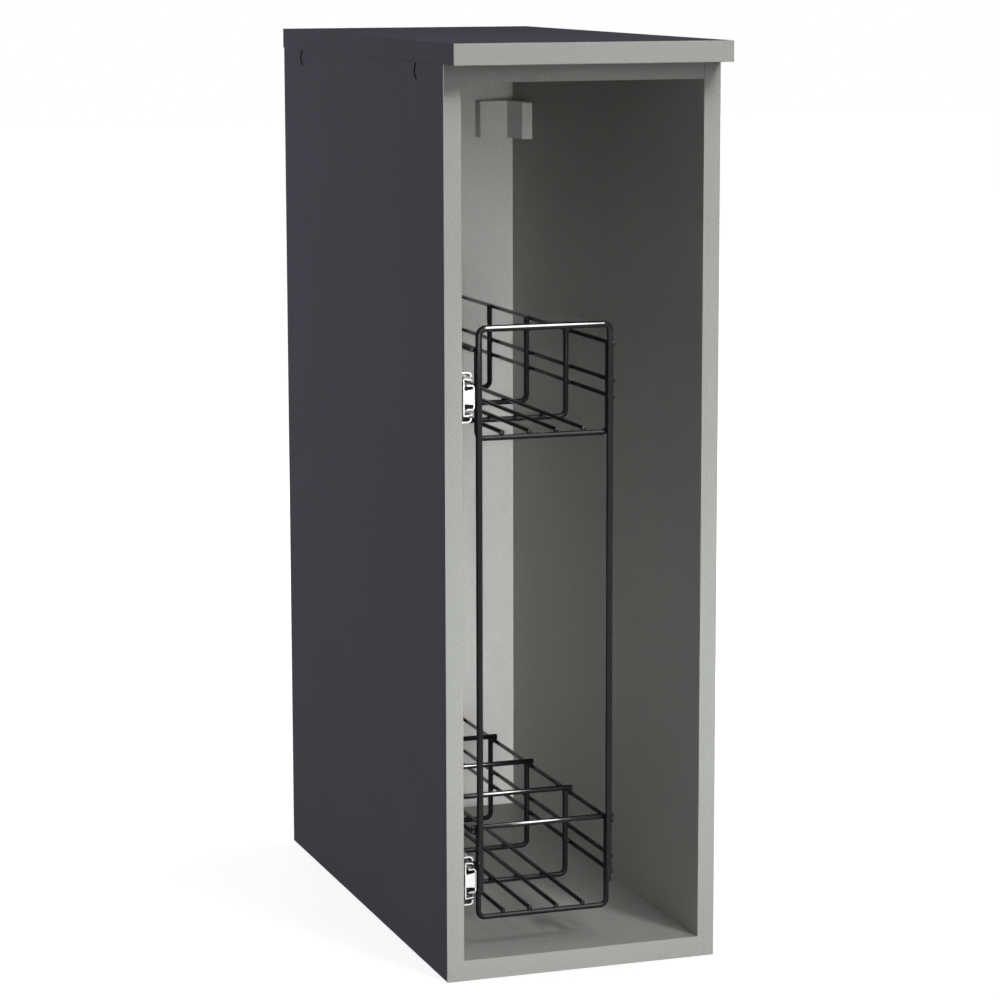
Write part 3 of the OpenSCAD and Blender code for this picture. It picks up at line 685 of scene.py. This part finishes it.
for side, s in (("left", -1), ("right", 1)):
    outer = "-x" if s < 0 else "+x"
    inner = "+x" if s < 0 else "-x"
    seat = PAST + CAP_SUNK + CAP_SEAT_DEEP
    holes = []
    for y in RAIL_SCREW_YS:
        start = (s * (SIDE_FACE_X + PAST), y, RAIL_SCREW_Z)
        holes.append((start, (-s, 0, 0), CAP_SEAT_RADIUS, seat, 0))
        holes.append((start, (-s, 0, 0), SCREW_HEAD_RADIUS, seat + SCREW_HEAD_DEEP, 2))
    board(side + "_board", side + "_side", [dark, light, raw_core],
          {outer: 0, inner: 1, "-y": 2, "+y": 2, "-z": 2, "+z": 2}, holes, keep=under_the_band)

# %% [markdown]
# ## Bottom, rails and top
#
# The bottom and the two rails lie between the sides. They are light on their
# wide faces, and their sawn edges are raw where no band covers them. Under the
# bottom sit four round cam fittings. The rails carry the screws that pull the
# top down, sunk flush into them. The top reaches past the front, dark above and
# light below. The rails are drawn a hair short, so that their ends never share
# a plane with the sides.

# %% Bottom, rails and top
CAM_SPOTS = [(s * 81, y) for s in (-1, 1) for y in (FRONT_Y + 60, BACK_Y - 60)]
CAM_RADIUS = 7.6
CAM_DEEP = 14.1
TOP_SCREW_SPOTS = {"front_rail": FRONT_Y + 51, "rear_rail": BACK_Y - 50}
TOP_SCREW_X = 70
TOP_SCREW_RADIUS = 4.15
TOP_SCREW_DEEP = 3.1
RAIL_UNDER = 814
RAIL_BAND_COVERS = 3.0
RAIL_SHORT = 0.05
TOP_OVERHANG = 30
TOP_BAND_COVERS = 2.0
UP = (0, 0, 1)

cam_seats = [((x, y, -PAST), UP, CAM_RADIUS, CAM_DEEP, 1) for x, y in CAM_SPOTS]
# The bottom board wears the light coat with painted shade.
board("bottom_board", "bottom_panel", [light_painted_shade, raw_core], dict.fromkeys(("+y", "-y", "-x", "+x"), 1),
      cam_seats, keep=under_the_band)

for node, y in TOP_SCREW_SPOTS.items():
    sinks = [((s * TOP_SCREW_X, y, RAIL_UNDER), UP, TOP_SCREW_RADIUS, TOP_SCREW_DEEP, 1) for s in (-1, 1)]
    board(node + "_board", node, [light, raw_core], dict.fromkeys(("+y", "-x", "+x"), 1),
          sinks, keep=lambda co: co.y < FRONT_Y + RAIL_BAND_COVERS, shrink=(RAIL_SHORT, 0, 0))

board("top_board", "top_panel", [dark, light, raw_core], {"-z": 1, "+y": 2, "-y": 2},
      keep=lambda co: co.y < FRONT_Y - TOP_OVERHANG + TOP_BAND_COVERS)

# %% [markdown]
# ## The back panel
#
# The back is a thin hard fibreboard, pale on the inside and raw brown behind.
# It is screwed onto the boards' rear edges. Two small windows let the hooks of
# the wall hangers through, so they are cut right through its thickness.

# %% Back panel
WINDOW_CORNERS = ((106.5, 268, 741.9), (113.5, 274, 763.9))
windows = [(lo, hi, 1) for lo, hi in both_sides(*WINDOW_CORNERS)]
board("back_board", "back_panel", [pale_face, fibre], dict.fromkeys(("+y", "-x", "+x", "-z", "+z"), 1),
      windows=windows, edge=0.2)

# %% [markdown]
# ## Front bands
#
# A band is a strip of light plastic glued to the sawn edge and milled flush.
# The cutter leaves its long outer edges slightly round, and only those, so only
# they are bevelled here. Where two bands meet, the joint is so tight that it
# can't be seen from a step away.

# %% Band maker
def join(bm, part):
    """Adds a finished part to a piece of several parts."""
    mesh = as_mesh(part, "part")
    bm.from_mesh(mesh)
    bpy.data.meshes.remove(mesh)


def band(name, node, boxes, is_round, rounding):
    """Strips in the place of a node. The edges whose middle passes is_round are rounded."""
    bm = bmesh.new()
    for lo, hi in boxes:
        strip = bmesh.new()
        block(strip, lo, hi)
        soft = [e for e in strip.edges if is_round((e.verts[0].co + e.verts[1].co) / 2)]
        bmesh.ops.bevel(strip, geom=soft, offset=rounding, segments=3, profile=0.5, affect="EDGES")
        join(bm, strip)
    even_light(settle(bm, name, "cabinet", [band_plastic], [node], sharp=40))
    print(name, "has", len(boxes), "strips")


# %% [markdown]
# ## The four bands
#
# The sides show their bands over the whole height, and the bottom's band lies
# between them. The top's band stands out in front with the overhang, and the
# front rail's band lies in its shadow, a millimetre further in.

# %% Bands
BAND_THICK = 1
INNER_FACE_X = 115
BOTTOM_THICK = 19
TOP_HIGH = 850
RAIL_LOW = 815
RAIL_SET_BACK = 1
FLUSH = 0.1
OUTER_ROUNDING = 0.45
INNER_ROUNDING = 0.3

band("side_bands", "side_edge_bands",
     both_sides((INNER_FACE_X, FRONT_Y, 0), (SIDE_FACE_X, FRONT_Y + BAND_THICK, SIDE_TOP)),
     lambda m: m.y < FRONT_Y + FLUSH and abs(abs(m.x) - SIDE_FACE_X) < FLUSH, OUTER_ROUNDING)

band("bottom_band", "bottom_edge_band",
     [((-INNER_FACE_X, FRONT_Y, 0), (INNER_FACE_X, FRONT_Y + BAND_THICK, BOTTOM_THICK))],
     lambda m: m.y < FRONT_Y + FLUSH and abs(m.z - BOTTOM_THICK) < FLUSH, INNER_ROUNDING)

top_front = FRONT_Y - TOP_OVERHANG
band("top_band", "top_edge_band",
     [((-SIDE_FACE_X, top_front, SIDE_TOP), (SIDE_FACE_X, top_front + BAND_THICK, TOP_HIGH))],
     lambda m: m.y < top_front + FLUSH, OUTER_ROUNDING)

rail_front = FRONT_Y + RAIL_SET_BACK
rail_half = INNER_FACE_X - RAIL_SHORT
band("rail_band", "rail_edge_band",
     [((-rail_half, rail_front, RAIL_LOW), (rail_half, rail_front + BAND_THICK, SIDE_TOP))],
     lambda m: m.y < rail_front + FLUSH and m.z < RAIL_LOW + FLUSH, INNER_ROUNDING)

# %% [markdown]
# ## Turned parts
#
# A cap is round, so half of its section says everything about it. A lathe does
# the same: it turns a profile round an axis.

# %% Turned parts
def turned(bm, profile, at, axis, sides=48):
    """A lathe part: (radius, height) pairs turned round an axis that starts at a point."""
    upright = Vector(axis).to_track_quat("Z", "Y").to_matrix()
    rings = []
    for r, h in profile:
        if r < 1e-6:
            rings.append([bm.verts.new(Vector(at) + upright @ Vector((0, 0, h)))])
        else:
            rings.append([bm.verts.new(Vector(at) + upright @ Vector((r * math.cos(t), r * math.sin(t), h)))
                          for t in (2 * math.pi * k / sides for k in range(sides))])
    made = []
    for a, b in zip(rings, rings[1:]):
        for k in range(sides):
            quad = [a[k % len(a)], a[(k + 1) % len(a)], b[(k + 1) % len(b)], b[k % len(b)]]
            made.append(bm.faces.new(list(dict.fromkeys(quad))))
    bmesh.ops.recalc_face_normals(bm, faces=made)


# %% [markdown]
# ## Cover caps
#
# Each cap is a small moulded disc, a little domed, whose stem clips into the
# screw's socket. It sits just below the face, so its seat shows as a thin dark
# crescent where the rim hides the light.

# %% Caps
CAP_DOME = 0.12
CAP_PROFILE = [(0, CAP_DOME), (3, 0.10), (6, 0.02), (7.0, -0.08), (7.3, -0.25), (7.4, -0.5), (7.4, -2.2),
               (1.8, -2.2), (1.7, -4.1), (1.3, -4.2), (0, -4.2)]
bm = bmesh.new()
for s in (-1, 1):
    for y in RAIL_SCREW_YS:
        turned(bm, CAP_PROFILE, (s * (SIDE_FACE_X - CAP_SUNK - CAP_DOME), y, RAIL_SCREW_Z), (s, 0, 0))
settle(bm, "cover_caps", "cabinet", [cap_dark], ["rail_screw_caps"], sharp=50)
print("caps at heights of", RAIL_SCREW_Z, "and depths of", RAIL_SCREW_YS)

# %% [markdown]
# ## Wall hanger covers
#
# In each top rear corner a moulded cover hides the steel bracket of a wall
# hanger. It is one thin shell, an arm along the side and a foot on the back
# panel, with rounded edges and a shallow field pressed into the foot. Its plan
# is drawn once and mirrored for the other corner. The two faces that lie on the
# side and on the back panel are left open, and a wall is given to the rest.

# %% Hanger covers
COVER_PLAN = [(74, 269.5), (74, 254.5), (104, 254.5), (104, 208.5), (115, 208.5), (115, 269.5)]
COVER_SHOWN_SIDES = 4
COVER_LOW = 736.5
COVER_HIGH = 774.0
COVER_WALL = 1.2
COVER_EDGE = 0.9
FOOT_Y = 254
FIELD_BORDER = 1.8
FIELD_STEP = 0.4
FIELD_DEEP = 0.35
FACES_FRONT = -0.99
WIDE_FACE = 500


def press_field(part):
    """Presses a shallow field into the foot's front face."""
    field = [f for f in part.faces
             if f.normal.y < FACES_FRONT and f.calc_center_median().y > FOOT_Y and f.calc_area() > WIDE_FACE]
    bmesh.ops.inset_region(part, faces=field, thickness=FIELD_BORDER, depth=0)
    bmesh.ops.inset_region(part, faces=field, thickness=FIELD_STEP, depth=-FIELD_DEEP)


bm = bmesh.new()
for s in (1, -1):
    part = bmesh.new()
    down = [part.verts.new((s * x, y, COVER_LOW)) for x, y in COVER_PLAN]
    top = [part.verts.new((s * x, y, COVER_HIGH)) for x, y in COVER_PLAN]
    made = [part.faces.new(down[::-1]), part.faces.new(top)]
    made += [part.faces.new((down[i], down[i + 1], top[i + 1], top[i])) for i in range(COVER_SHOWN_SIDES)]
    if s < 0:
        bmesh.ops.reverse_faces(part, faces=made)
    inner_edges = [e for e in part.edges if len(e.link_faces) == 2]
    bmesh.ops.bevel(part, geom=inner_edges, offset=COVER_EDGE, segments=3, profile=0.5, affect="EDGES")
    press_field(part)
    join(bm, part)
covers = settle(bm, "hanger_cover_shells", "cabinet", [cover_grey], ["hanger_covers"],
                sharp=40)
wall = covers.modifiers.new("wall", "SOLIDIFY")
wall.thickness = COVER_WALL * MM
wall.offset = -1
even_light(covers)
print("hanger covers from", COVER_LOW, "to", COVER_HIGH, "mm")

# %% [markdown]
# ## Bent lines
#
# Wires and the sheet of the slides are bent, not cut, so both start from a line
# with rounded corners. Two helpers make such lines: one bends the corners of a
# path with one radius, and one draws an arc round the row of balls.

# %% Bends and arcs
def bent(corners, radius, steps=7):
    """Points along a path whose corners are bent round with one radius."""
    pts = [Vector(corners[0])]
    for before, corner, after in zip(corners, corners[1:], corners[2:]):
        p = Vector(corner)
        a = (p - Vector(before)).normalized()
        b = (Vector(after) - p).normalized()
        turn = a.angle(b)
        reach = radius * math.tan(turn / 2)
        centre = p + (b - a).normalized() * (radius / math.cos(turn / 2))
        start = p - a * reach - centre
        end = p + b * reach - centre
        for i in range(steps + 1):
            s = i / steps
            swing = start * math.sin((1 - s) * turn) + end * math.sin(s * turn)
            pts.append(centre + swing / math.sin(turn))
    pts.append(Vector(corners[-1]))
    return pts


def arc(centre, radius, start, end, steps=8):
    """Points on an arc in X and Z, from a start to an end angle in degrees."""
    angles = [math.radians(start + (end - start) * i / steps) for i in range(steps + 1)]
    return [Vector((centre[0] + radius * math.cos(t), 0, centre[1] + radius * math.sin(t))) for t in angles]


# %% [markdown]
# ## Ball slides
#
# A slide has three bent members. The fixed one is screwed to the side board and
# curls round the outer balls. The middle one runs between both rows of balls,
# and the inner one carries the basket. All three are mirrored above and below
# their middle, so only the upper half of each section is drawn: the middle line
# of the sheet, with its bends and the grooves that hold the balls.

# %% Slide sections
OUTER_BALL = (6.63, 19.27)
INNER_BALL = (8.03, 13.41)
BALL_RADIUS = 2.43
FIXED_SHEET = 1.2
MOVING_SHEET = 1.0
FIXED_HALF_HIGH = 22.3
outer_race = BALL_RADIUS + FIXED_SHEET / 2
moving_race = BALL_RADIUS + MOVING_SHEET / 2

fixed_half = (arc(OUTER_BALL, outer_race, -17, 90, 10)
              + bent([(6.4, 0, FIXED_HALF_HIGH), (0.6, 0, FIXED_HALF_HIGH), (0.6, 0, 18)], 1.3)[:-1])
middle_half = (arc(INNER_BALL, moving_race, 38, 90) + arc(OUTER_BALL, moving_race, -90, -118, 5)
               + bent([(5.0, 0, 16.78), (3.1, 0, 16.78), (3.1, 0, 12)], 0.9)[:-1])
inner_half = ([Vector((5.3, 0, 10.88))] + arc(INNER_BALL, moving_race, -120, -60)
              + bent([(9.6, 0, 10.88), (12.2, 0, 10.88), (12.2, 0, 6)], 2.3)[:-1])
INNER_TAB = ((2.2, -5.0), (2.8, -5.6), (12.2, -6.4), (12.2, 7.6), (2.8, 5.9), (2.2, 5.3))


def mirrored(half):
    """The upper half of a section's line, and its mirror image below."""
    return half + [Vector((p.x, 0, -p.z)) for p in half[::-1]]


def sheet_outline(line, thickness):
    """The two faces of a bent sheet, from the middle line of its section."""
    left = []
    right = []
    for i, p in enumerate(line):
        d = (line[min(i + 1, len(line) - 1)] - line[max(i - 1, 0)]).normalized()
        n = Vector((-d.z, 0, d.x))
        left.append(p + n * thickness / 2)
        right.append(p - n * thickness / 2)
    return left + right[::-1]


print("a slide is", round(2 * (FIXED_HALF_HIGH + FIXED_SHEET / 2), 1), "mm high")

# %% [markdown]
# ## From section to member
#
# A rolling mill pushes one section out along its length, and so does the first
# helper. The last one sinks the holes of the three screws that hold a slide on
# the side board, so that their heads don't touch the moving members.

# %% Member helpers
SLIDE_X = -115.0
SLIDE_Y = -246.5
SLIDE_LONG = 450.0
SLIDE_ZS = {"upper": 537.0, "lower": 93.0}
SCREW_FROM_END = 36
SLIDE_SCREW_YS = [SLIDE_Y + v for v in (SCREW_FROM_END, SLIDE_LONG / 2, SLIDE_LONG - SCREW_FROM_END)]
SINK_X = 0.4
SINK_RADII = (2.1, 4.0)
SINK_DEEP = 1.9


def bar(bm, outline, y0, y1):
    """A section in X and Z, carried along Y."""
    a = [bm.verts.new((p.x, y0, p.z)) for p in outline]
    b = [bm.verts.new((p.x, y1, p.z)) for p in outline]
    n = len(outline)
    faces = [bm.faces.new((a[i], a[(i + 1) % n], b[(i + 1) % n], b[i])) for i in range(n)]
    faces += [bm.faces.new(a[::-1]), bm.faces.new(b)]
    bmesh.ops.recalc_face_normals(bm, faces=faces)


def section_at(z, half, thickness):
    """The outline of a member at the height of a slide."""
    return [p + Vector((SLIDE_X, 0, z)) for p in sheet_outline(mirrored(half), thickness)]


def member(name, body, node, *bars):
    """A member of one or more bars, each an outline with its two ends along Y."""
    bm = bmesh.new()
    for outline, y0, y1 in bars:
        bar(bm, outline, y0, y1)
    return settle(bm, name, body, [rolled_zinc], [node])


def sink_screws(member, z):
    """Cuts the three sunk screw holes of a fixed member."""
    tool = bmesh.new()
    for y in SLIDE_SCREW_YS:
        place = Matrix.Translation((SLIDE_X + SINK_X, y, z)) @ Matrix.Rotation(math.radians(90), 4, "Y")
        bmesh.ops.create_cone(tool, cap_ends=True, segments=32, radius1=SINK_RADII[0], radius2=SINK_RADII[1],
                              depth=SINK_DEEP, matrix=place)
    cut(member, tool)


# %% [markdown]
# ## The members of both slides
#
# Each member rides on a body of its own: the fixed one on the cabinet, the
# middle one on the body that follows half way, and the inner one on the basket.
# A tab, bent across the section, closes the inner member's front end.

# %% Slide members
NOSE = 1.4
TAB_THICK = 1.0
SLIDE_END = SLIDE_Y + SLIDE_LONG
NOSE_Y = SLIDE_Y - NOSE

for level, z in SLIDE_ZS.items():
    slide = level + "_slide_"
    fixed = member(slide + "fixed_member", "cabinet", slide + "outer",
                   (section_at(z, fixed_half, FIXED_SHEET), SLIDE_Y, SLIDE_END))
    sink_screws(fixed, z)
    member(slide + "middle_member", level + "_middle", slide + "middle",
           (section_at(z, middle_half, MOVING_SHEET), SLIDE_Y, SLIDE_END))
    tab = [Vector((SLIDE_X + x, 0, z + v)) for x, v in INNER_TAB]
    inner = member(slide + "inner_member", "basket", slide + "inner",
                   (section_at(z, inner_half, MOVING_SHEET), NOSE_Y, SLIDE_END),
                   (tab, NOSE_Y, NOSE_Y + TAB_THICK))
    even_light(inner)
    print(level, "slide at height", z, "mm,", SLIDE_LONG, "mm long")

# %% [markdown]
# ## Wires
#
# A wire is one round section along a line. The section is turned as little as
# possible from one point to the next, so it never twists. Cut ends are a little
# rounded, as they are after tumbling and coating.

# %% Wire maker
END_ROUNDING_ANGLES = (0, 35, 65, 90)


def wire(bm, pts, radius, sides, edge):
    """A round wire along a path. Edge is the rounding of its two ends."""
    dirs = [(b - a).normalized() for a, b in zip(pts, pts[1:])]
    along = [dirs[0]] + [(a + b).normalized() for a, b in zip(dirs, dirs[1:])] + [dirs[-1]]
    rounding = [(edge * (1 - math.cos(math.radians(k))), radius - edge * (1 - math.sin(math.radians(k))))
                for k in END_ROUNDING_ANGLES]
    stations = [(pts[0] + along[0] * d, along[0], r) for d, r in rounding]
    stations += [(p, t, radius) for p, t in zip(pts[1:-1], along[1:-1])]
    stations += [(pts[-1] - along[-1] * d, along[-1], r) for d, r in reversed(rounding)]
    side = along[0].orthogonal().normalized()
    rings = []
    for p, t, r in stations:
        side = (side - t * side.dot(t)).normalized()
        other = t.cross(side)
        rings.append([bm.verts.new(p + (side * math.cos(a) + other * math.sin(a)) * r)
                      for a in (2 * math.pi * k / sides for k in range(sides))])
    for a, b in zip(rings, rings[1:]):
        for k in range(sides):
            bm.faces.new((a[k], a[(k + 1) % sides], b[(k + 1) % sides], b[k]))
    bm.faces.new(rings[0][::-1])
    bm.faces.new(rings[-1])


def wires(name, node, paths, radius, sides=20, edge=0.6, coat=black):
    """The wires of a node, one for each path, as one piece that rides with the baskets."""
    bm = bmesh.new()
    for path in paths:
        wire(bm, path, radius, sides, edge)
    settle(bm, name, "basket", [coat], [node])


# %% [markdown]
# ## The tall frame
#
# One thick wire, bent twice at the top, stands in front of both baskets and ends
# at the lower one's feet. It makes them one drawer: when one is pulled, both
# come out. So this wire and all that follow ride on the same body.

# %% Tall frame
HOOP_XS = (-95.4, 29.8)
FRAME_Y = -239
FRAME_FOOT = 78
FRAME_TOP = 597
FRAME_RADIUS = 3.0
FRAME_BEND = 6.5


def u_shape(y, shut, free, bend, steps):
    """A path like a U across the baskets. Shut and free are the heights of its two ends."""
    left, right = HOOP_XS
    return bent([(left, y, free), (left, y, shut), (right, y, shut), (right, y, free)], bend, steps)


wires("tall_frame_wire", "tall_frame", [u_shape(FRAME_Y, FRAME_TOP, FRAME_FOOT, FRAME_BEND, steps=9)],
      FRAME_RADIUS, sides=24, edge=0.8)
print("tall frame from", FRAME_FOOT, "to", FRAME_TOP, "mm")

# %% [markdown]
# ## Hoops
#
# Five hoops like a U carry each basket. They stand at equal steps from front to
# back, and everything else is welded to them. Their coat is duller than that of
# the straight wires.

# %% Hoops
FIRST_HOOP_Y = -233.4
HOOP_STEP = 109.975
HOOP_YS = [FIRST_HOOP_Y + HOOP_STEP * i for i in range(5)]
HOOP_RADIUS = 2.5
HOOP_BEND = 6.0
HOOP_HIGH = 82.3
UNDER_SLIDE = 39.3
basket_floor = {level: z - UNDER_SLIDE for level, z in SLIDE_ZS.items()}

for level, base in basket_floor.items():
    paths = [u_shape(y, base, base + HOOP_HIGH, HOOP_BEND, steps=8) for y in HOOP_YS]
    wires(level + "_hoop_wires", level + "_hoops", paths, HOOP_RADIUS, coat=satin_black)
print("hoops at", [round(y, 1) for y in HOOP_YS])

# %% [markdown]
# ## Straight wires
#
# Thin straight wires run from front to back: three along each side and four
# under the load. On the lower basket thicker bars lie across the hoops' ends.

# %% Side, floor and cross wires
ROD_RADIUS = 2.0
ROD_YS = (-235.8, 209.0)
SIDE_ROD_XS = (-100.0, 34.4)
SIDE_ROD_DZS = (41, 7.5, -7.5)
BASKET_MIDDLE_X = -32.8
FLOOR_ROD_XS = [BASKET_MIDDLE_X + v for v in (-39, -13, 13, 39)]
FLOOR_ROD_UP = 4.6
CROSS_BAR_XS = (-102.0, 36.4)
CROSS_BAR_Z = 138.6


def rods(name, node, places):
    """Straight wires from front to back, one for each place in X and Z."""
    wires(name, node, [[Vector((x, y, z)) for y in ROD_YS] for x, z in places], ROD_RADIUS, sides=16)


for level, z in SLIDE_ZS.items():
    floor_z = basket_floor[level] + FLOOR_ROD_UP
    rods(level + "_side_wire_rods", level + "_side_wires",
         [(x, z + dz) for x in SIDE_ROD_XS for dz in SIDE_ROD_DZS])
    rods(level + "_floor_wire_rods", level + "_floor_wires", [(x, floor_z) for x in FLOOR_ROD_XS])

wires("lower_cross_bar_rods", "lower_cross_bars",
      [[Vector((x, y, CROSS_BAR_Z)) for x in CROSS_BAR_XS] for y in HOOP_YS], HOOP_RADIUS)
print("straight wires:", 2 * (2 * len(SIDE_ROD_DZS) + len(FLOOR_ROD_XS)), "and", len(HOOP_YS), "cross bars")

# %% [markdown]
# ## Welds
#
# Crossing wires are pressed together by spot welding. Each crossing keeps a
# small squeezed lump, which the black coat rounds over. A lump is a flattened
# ball whose points are moved a little at random, from one seeded source, so that
# no two are alike and every run makes the same ones.

# %% Weld maker
WELD_WIDE = 1.9
WELD_UNEVEN = 0.06
rng = random.Random(7)


def weld_bead(bm, at, across, size):
    """A squeezed weld between two wires, flattest along the line that joins their middles."""
    turn = Vector(across).to_track_quat("Z", "Y").to_matrix().to_4x4()
    wide = WELD_WIDE * size
    scale = Matrix.Diagonal((wide * rng.uniform(0.9, 1.1), wide * rng.uniform(0.9, 1.1), size, 1))
    made = bmesh.ops.create_icosphere(bm, subdivisions=2, radius=1.0,
                                      matrix=Matrix.Translation(Vector(at)) @ turn @ scale)
    for v in made["verts"]:
        v.co += (v.co - Vector(at)) * rng.uniform(-WELD_UNEVEN, WELD_UNEVEN)


# %% [markdown]
# ## Where the wires meet
#
# Every hoop is welded to the side and floor wires that cross it, and on the
# lower basket the uppermost side wires also carry the cross bars. The tall frame
# is welded to both baskets' first hoops at three heights.

# %% Welds
WELD_SIZE = 1.3
WELD_OFF = 2.55
CROSS_WELD_DZ = 43.05
FRAME_WELD_SIZE = 1.05
FRAME_WELD_Y = -235.95
FRAME_WELD_DZS = (-2, 22, 38)

for level, z in SLIDE_ZS.items():
    bm = bmesh.new()
    for y in HOOP_YS:
        for x in (HOOP_XS[0] - WELD_OFF, HOOP_XS[1] + WELD_OFF):
            for dz in SIDE_ROD_DZS:
                weld_bead(bm, (x, y, z + dz), (1, 0, 0), WELD_SIZE)
        for x in FLOOR_ROD_XS:
            weld_bead(bm, (x, y, basket_floor[level] + WELD_OFF), (0, 0, 1), WELD_SIZE)
        if level == "lower":
            for x in SIDE_ROD_XS:
                weld_bead(bm, (x, y, z + CROSS_WELD_DZ), (0, 0, 1), WELD_SIZE)
    for x in HOOP_XS:
        for dz in FRAME_WELD_DZS:
            weld_bead(bm, (x, FRAME_WELD_Y, z + dz), (0, 1, 0), FRAME_WELD_SIZE)
    settle(bm, level + "_basket_welds", "basket", [black], sharp=60)
    print(level, "basket welded")

# %% [markdown]
# ## Small parts that keep the model's own shape
#
# Screws, nuts, cams, dowels, hooks, brackets, clamp plates, cages and balls are
# right as they are, so they are not built again. Each gets its metal, wood or
# coat. Pressed, cast and wooden ones also get broken edges, by a bevel that
# leaves their meshes unchanged.

# %% Dress the remaining nodes
def soften(ob, width):
    """Breaks the sharp edges of a node by a few tenths of a millimetre, once its split edges are joined."""
    weld = ob.modifiers.new("joined", "WELD")
    weld.merge_threshold = 0.00001
    mod = ob.modifiers.new("broken_edges", "BEVEL")
    mod.width = width * MM
    mod.segments = 2
    mod.limit_method = "ANGLE"
    mod.angle_limit = math.radians(30)
    mod.harden_normals = True
    mod.use_clamp_overlap = True


def dress(mat, edge, *nodes):
    for node in nodes:
        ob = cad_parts[node]
        for s in ob.material_slots:
            s.link = "OBJECT"
            s.material = mat
        if edge:
            soften(ob, edge)
    print(mat.name, "on", ", ".join(nodes))


dress(zinc, 0, "rail_screws", "top_screws", "back_screws", "hanger_screws", "slide_screws", "clamp_screws",
      "clamp_nuts", "bottom_cam_bolts", "adjust_screw_left", "adjust_screw_right")
dress(zinc, 0.25, "hook_left", "hook_right")
dress(rolled_zinc, 0.12, "hanger_brackets")
dress(cast_zinc, 0.15, "bottom_cams")
dress(black, 0.25, "clamp_plates")
dress(beech, 0.4, "rail_dowels", "bottom_dowels")
for level in SLIDE_ZS:
    dress(cage_steel, 0, level + "_outer_cage", level + "_inner_cage")
    dress(ball_steel, 0, level + "_outer_balls", level + "_inner_balls")
